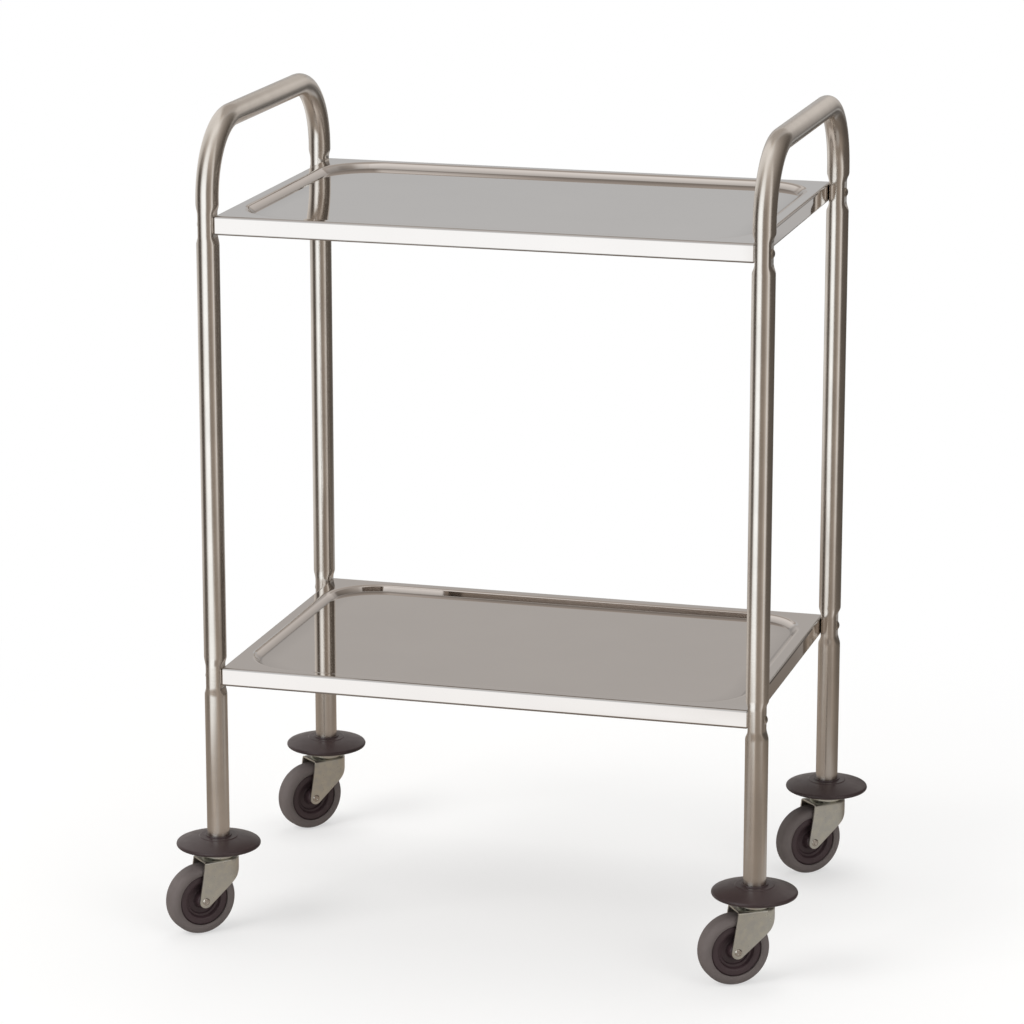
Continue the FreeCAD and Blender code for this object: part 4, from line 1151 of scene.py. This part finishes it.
# Rings from the middle of the floor to that of the ceiling: radius, height, stripes' share, bands
SHELL = (
    (0.00, 0.003, 0.0, INNER_FLOOR), (0.60, 0.003, 0.0, INNER_FLOOR),
    (0.75, 0.003, 0.0, NEAR_FLOOR), (1.00, 0.003, 0.0, NEAR_FLOOR),
    (1.12, 0.003, 0.0, MID_FLOOR), (1.45, 0.003, 0.6, MID_FLOOR),
    (1.90, 0.003, 1.0, backdrop(0.50, 0.4, 0.22)), (2.60, 0.003, 1.0, backdrop(0.50, 0.4, 0.12)),
    (2.60, 0.24, 1.0, backdrop(0.50, 0.4, 0.12)), (2.60, 0.33, 1.0, card(0.12)),
    (2.60, 0.41, 1.0, card(0.14)), (2.60, 0.50, 1.0, backdrop(0.50, 0.4, 0.17)),
    (2.60, 0.75, 1.0, backdrop(0.52, 0.3, 0.40)), (2.60, 0.95, 1.0, backdrop(0.47, 0.3, 0.54)),
    (2.60, 1.17, 1.0, backdrop(0.47, 0.3, 0.60)), (2.60, 1.20, 1.0, backdrop(0.52, 0.0, 0.60)),
    (2.60, 1.37, 1.0, backdrop(0.54, 0.0, 0.64)), (2.60, 1.42, 1.0, backdrop(0.42, 0.6, 0.66)),
    (2.60, 1.57, 0.9, backdrop(0.42, 0.6, 0.68)), (2.60, 1.65, 0.9, backdrop(0.62, 0.4, 0.68)),
    (2.60, 1.92, 0.8, backdrop(0.62, 0.4, 0.66)), (2.60, 2.00, 0.8, backdrop(0.43, 0.6, 0.54, 156)),
    (2.60, 2.80, 0.6, backdrop(0.43, 0.6, 0.46, 156)),
    (1.60, 2.80, 0.4, backdrop(0.43, 0.6, 0.44, 156)),
    (1.00, 2.80, 0.1, backdrop(0.43, 0.6, 0.44, 156)),
    (0.80, 2.80, 0.0, backdrop(0.57, 0.7, 0.57)), (0.00, 2.80, 0.0, backdrop(0.57, 0.7, 0.57)))


def studio_shell(front, columns):
    """The studio's shell and its glow, ring by ring: floor, wall and ceiling.

    Each ring is x = r cos b, y = r sin b at its height. The glow at a bearing is read off the
    ring's bands and, by the ring's share, off the upright stripes of the front and sides. Its
    colour is the brightness times a mix of white and a warm tint. The bearing is measured
    from the front, negative to the left.
    """
    bearing = np.linspace(-180, 180, columns, endpoint=False)
    angle = front + np.radians(bearing)
    edges, striped = (-150, -112, 138, 142), (0, 1, 1, 0)

    def read(bands):
        table = np.array(bands)
        return stacked(*(np.interp(bearing, table[:, 0], table[:, k]) for k in (1, 2)))

    grid, glow = [], []
    for radius, height, share, bands in SHELL:
        mix = (share * np.interp(bearing, edges, striped))[:, None]
        level, warm = np.split(read(bands) * (1 - mix) + read(STRIPES) * mix, 2, axis=1)
        colour = level * (1 - warm + warm * WARM)
        grid.append(stacked(radius * np.cos(angle), radius * np.sin(angle), height))
        glow.append(stacked(*colour.T, 1.0))
    return np.array(grid), np.array(glow)


def add_stage_mesh(name, grid, material, wrap_columns=False, fields=None):
    """A floor or shell that isn't part of the object."""
    mesh = make_mesh(name, [(grid, False, wrap_columns)], closed=False, fields=fields)
    mesh.materials.append(material)
    mesh.shade_smooth()
    thing = add_object(name, mesh)
    return thing


def seen_directly(tree):
    """1 for camera, glossy and transmission rays, and 0 for the rest."""
    rays = add_node(tree, "LightPath").outputs
    both = add_node(tree, "Math", {0: rays["Is Camera Ray"], 1: rays["Is Glossy Ray"]},
                    operation="MAXIMUM")
    return add_node(tree, "Math", {0: both, 1: rays["Is Transmission Ray"]},
                    operation="MAXIMUM")


def floor_finish(colour):
    """Pale matt floor. Away from the trolley what is seen of it fades into plain white."""
    material = bpy.data.materials.new("pale_studio_floor")
    tree = emptied(material)
    place = add_node(tree, "TexCoord").outputs["Object"]
    distance = add_node(tree, "VectorMath", {0: place},
                        operation="LENGTH").outputs["Value"]
    fade = add_node(tree, "MapRange", {
        "Value": distance, "From Min": 0.45, "From Max": 1.3, "To Min": 0.55, "To Max": 1.0},
        interpolation_type="SMOOTHSTEP")
    share = add_node(tree, "Math", {0: fade, 1: seen_directly(tree)}, operation="MULTIPLY")
    matt = add_node(tree, "BsdfDiffuse", {"Color": rgba(colour)})
    white = add_node(tree, "Emission", {"Color": (1, 1, 1, 1), "Strength": 1.0})
    mixed = add_node(tree, "MixShader", {0: share, 1: matt, 2: white})
    add_node(tree, "OutputMaterial", {"Surface": mixed})
    return material


def shell_finish():
    """Softboxes, flags and warm wood round the trolley: a glow read from its attribute."""
    material = bpy.data.materials.new("studio_softboxes_and_flags")
    tree = emptied(material)
    glow = add_node(tree, "Attribute", attribute_name="glow").outputs["Color"]
    light = add_node(tree, "Emission", {"Color": glow, "Strength": 1.0})
    add_node(tree, "OutputMaterial", {"Surface": light})
    return material


def add_lamp(name, position, target, size, power):
    """A square softbox that faces a point."""
    light = bpy.data.lights.new(name, "AREA")
    light.size = size
    light.energy = power
    lamp = add_object(name, light)
    lamp.visible_glossy = False
    lamp.location = position
    direction = lamp.location - type(lamp.location)(target)
    lamp.rotation_euler = direction.to_track_quat("Z", "Y").to_euler()


class TROLLEY_OT_stage(bpy.types.Operator):
    """Pale floor, softboxes, plain world and the camera"""
    bl_idname = "trolley.stage"
    bl_label = "Stage"

    def execute(self, context):
        scene = context.scene
        settings = scene.trolley_stage
        half = 20.0  # metres, past every view of the floor
        x, y = np.meshgrid([-half, half], [-half, half])
        add_stage_mesh("studio_floor", stacked(x, y, 0.0), floor_finish(tuple(settings.floor)))

        grid, glow = studio_shell(-math.pi / 2 + settings.turn, 360)
        shell = add_stage_mesh("studio_shell", grid, shell_finish(), True, {"glow": glow})
        for ray in ("camera", "diffuse", "transmission", "shadow", "volume_scatter"):
            setattr(shell, "visible_" + ray, False)

        aim = (0, 0, 0.45)
        add_lamp("key_softbox", (-2.3, -2.6, 3.0), aim, 2.0, 95)
        add_lamp("fill_softbox", (3.0, -2.2, 2.2), aim, 2.0, 35)
        add_lamp("top_softbox", (0.2, 0.9, 3.6), aim, 2.4, 60)

        world = bpy.data.worlds.new("plain_studio")
        scene.world = world
        tree = emptied(world)
        soft = add_node(tree, "Background", {"Color": (1, 1, 1, 1), "Strength": 0.55})
        white = add_node(tree, "Background", {"Color": (1, 1, 1, 1), "Strength": 1.0})
        mixed = add_node(tree, "MixShader", {0: seen_directly(tree), 1: soft, 2: white})
        add_node(tree, "OutputWorld", {"Surface": mixed})

        camera = bpy.data.cameras.new("camera")
        camera.lens = settings.lens
        camera.sensor_width = 36
        camera.clip_end = 200
        viewer = add_object("camera", camera)
        viewer.location = settings.position
        viewer.rotation_euler = (math.pi / 2 - settings.tilt, 0, settings.turn)
        scene.camera = viewer
        scene.view_settings.view_transform = "Standard"
        return {"FINISHED"}


# Add-on

SETTINGS = {
    "trolley_frame": FrameSizes, "trolley_trays": TraySizes, "trolley_screws": ScrewSizes,
    "trolley_castors": CastorSizes, "trolley_wheels": WheelSizes,
    "trolley_colours": FinishColours, "trolley_steps": RoundSteps,
    "trolley_stage": StageSettings,
}
STEPS = (
    TROLLEY_OT_side_frames, TROLLEY_OT_trays, TROLLEY_OT_tray_screws,
    TROLLEY_OT_bumper_discs, TROLLEY_OT_swivel_heads, TROLLEY_OT_forks,
    TROLLEY_OT_axle_bolts, TROLLEY_OT_wheel_hubs, TROLLEY_OT_tyres,
    TROLLEY_OT_inner_parts, TROLLEY_OT_stage,
)


class TROLLEY_PT_sidebar(bpy.types.Panel):
    """Sizes, colours and the steps that build the trolley"""
    bl_idname = "TROLLEY_PT_sidebar"
    bl_label = "Serving Trolley"
    bl_space_type = "VIEW_3D"
    bl_region_type = "UI"
    bl_category = "Trolley"

    def draw(self, context):
        for step in STEPS:
            self.layout.operator(step.bl_idname)
        for name, group in SETTINGS.items():
            box = self.layout.box()
            box.label(text=group.__doc__)
            for setting in group.__annotations__:
                box.prop(getattr(context.scene, name), setting)


def register():
    for group in SETTINGS.values():
        bpy.utils.register_class(group)
    for name, group in SETTINGS.items():
        setattr(bpy.types.Scene, name, PointerProperty(type=group))
    for step in STEPS + (TROLLEY_PT_sidebar,):
        bpy.utils.register_class(step)


def unregister():
    for step in (TROLLEY_PT_sidebar,) + STEPS[::-1]:
        bpy.utils.unregister_class(step)
    for name, group in SETTINGS.items():
        delattr(bpy.types.Scene, name)
        bpy.utils.unregister_class(group)


def main():
    """Build every piece and the stage."""
    register()
    for step in STEPS:
        getattr(bpy.ops.trolley, step.bl_idname.split(".")[1])()


if __name__ == "__main__":
    main()
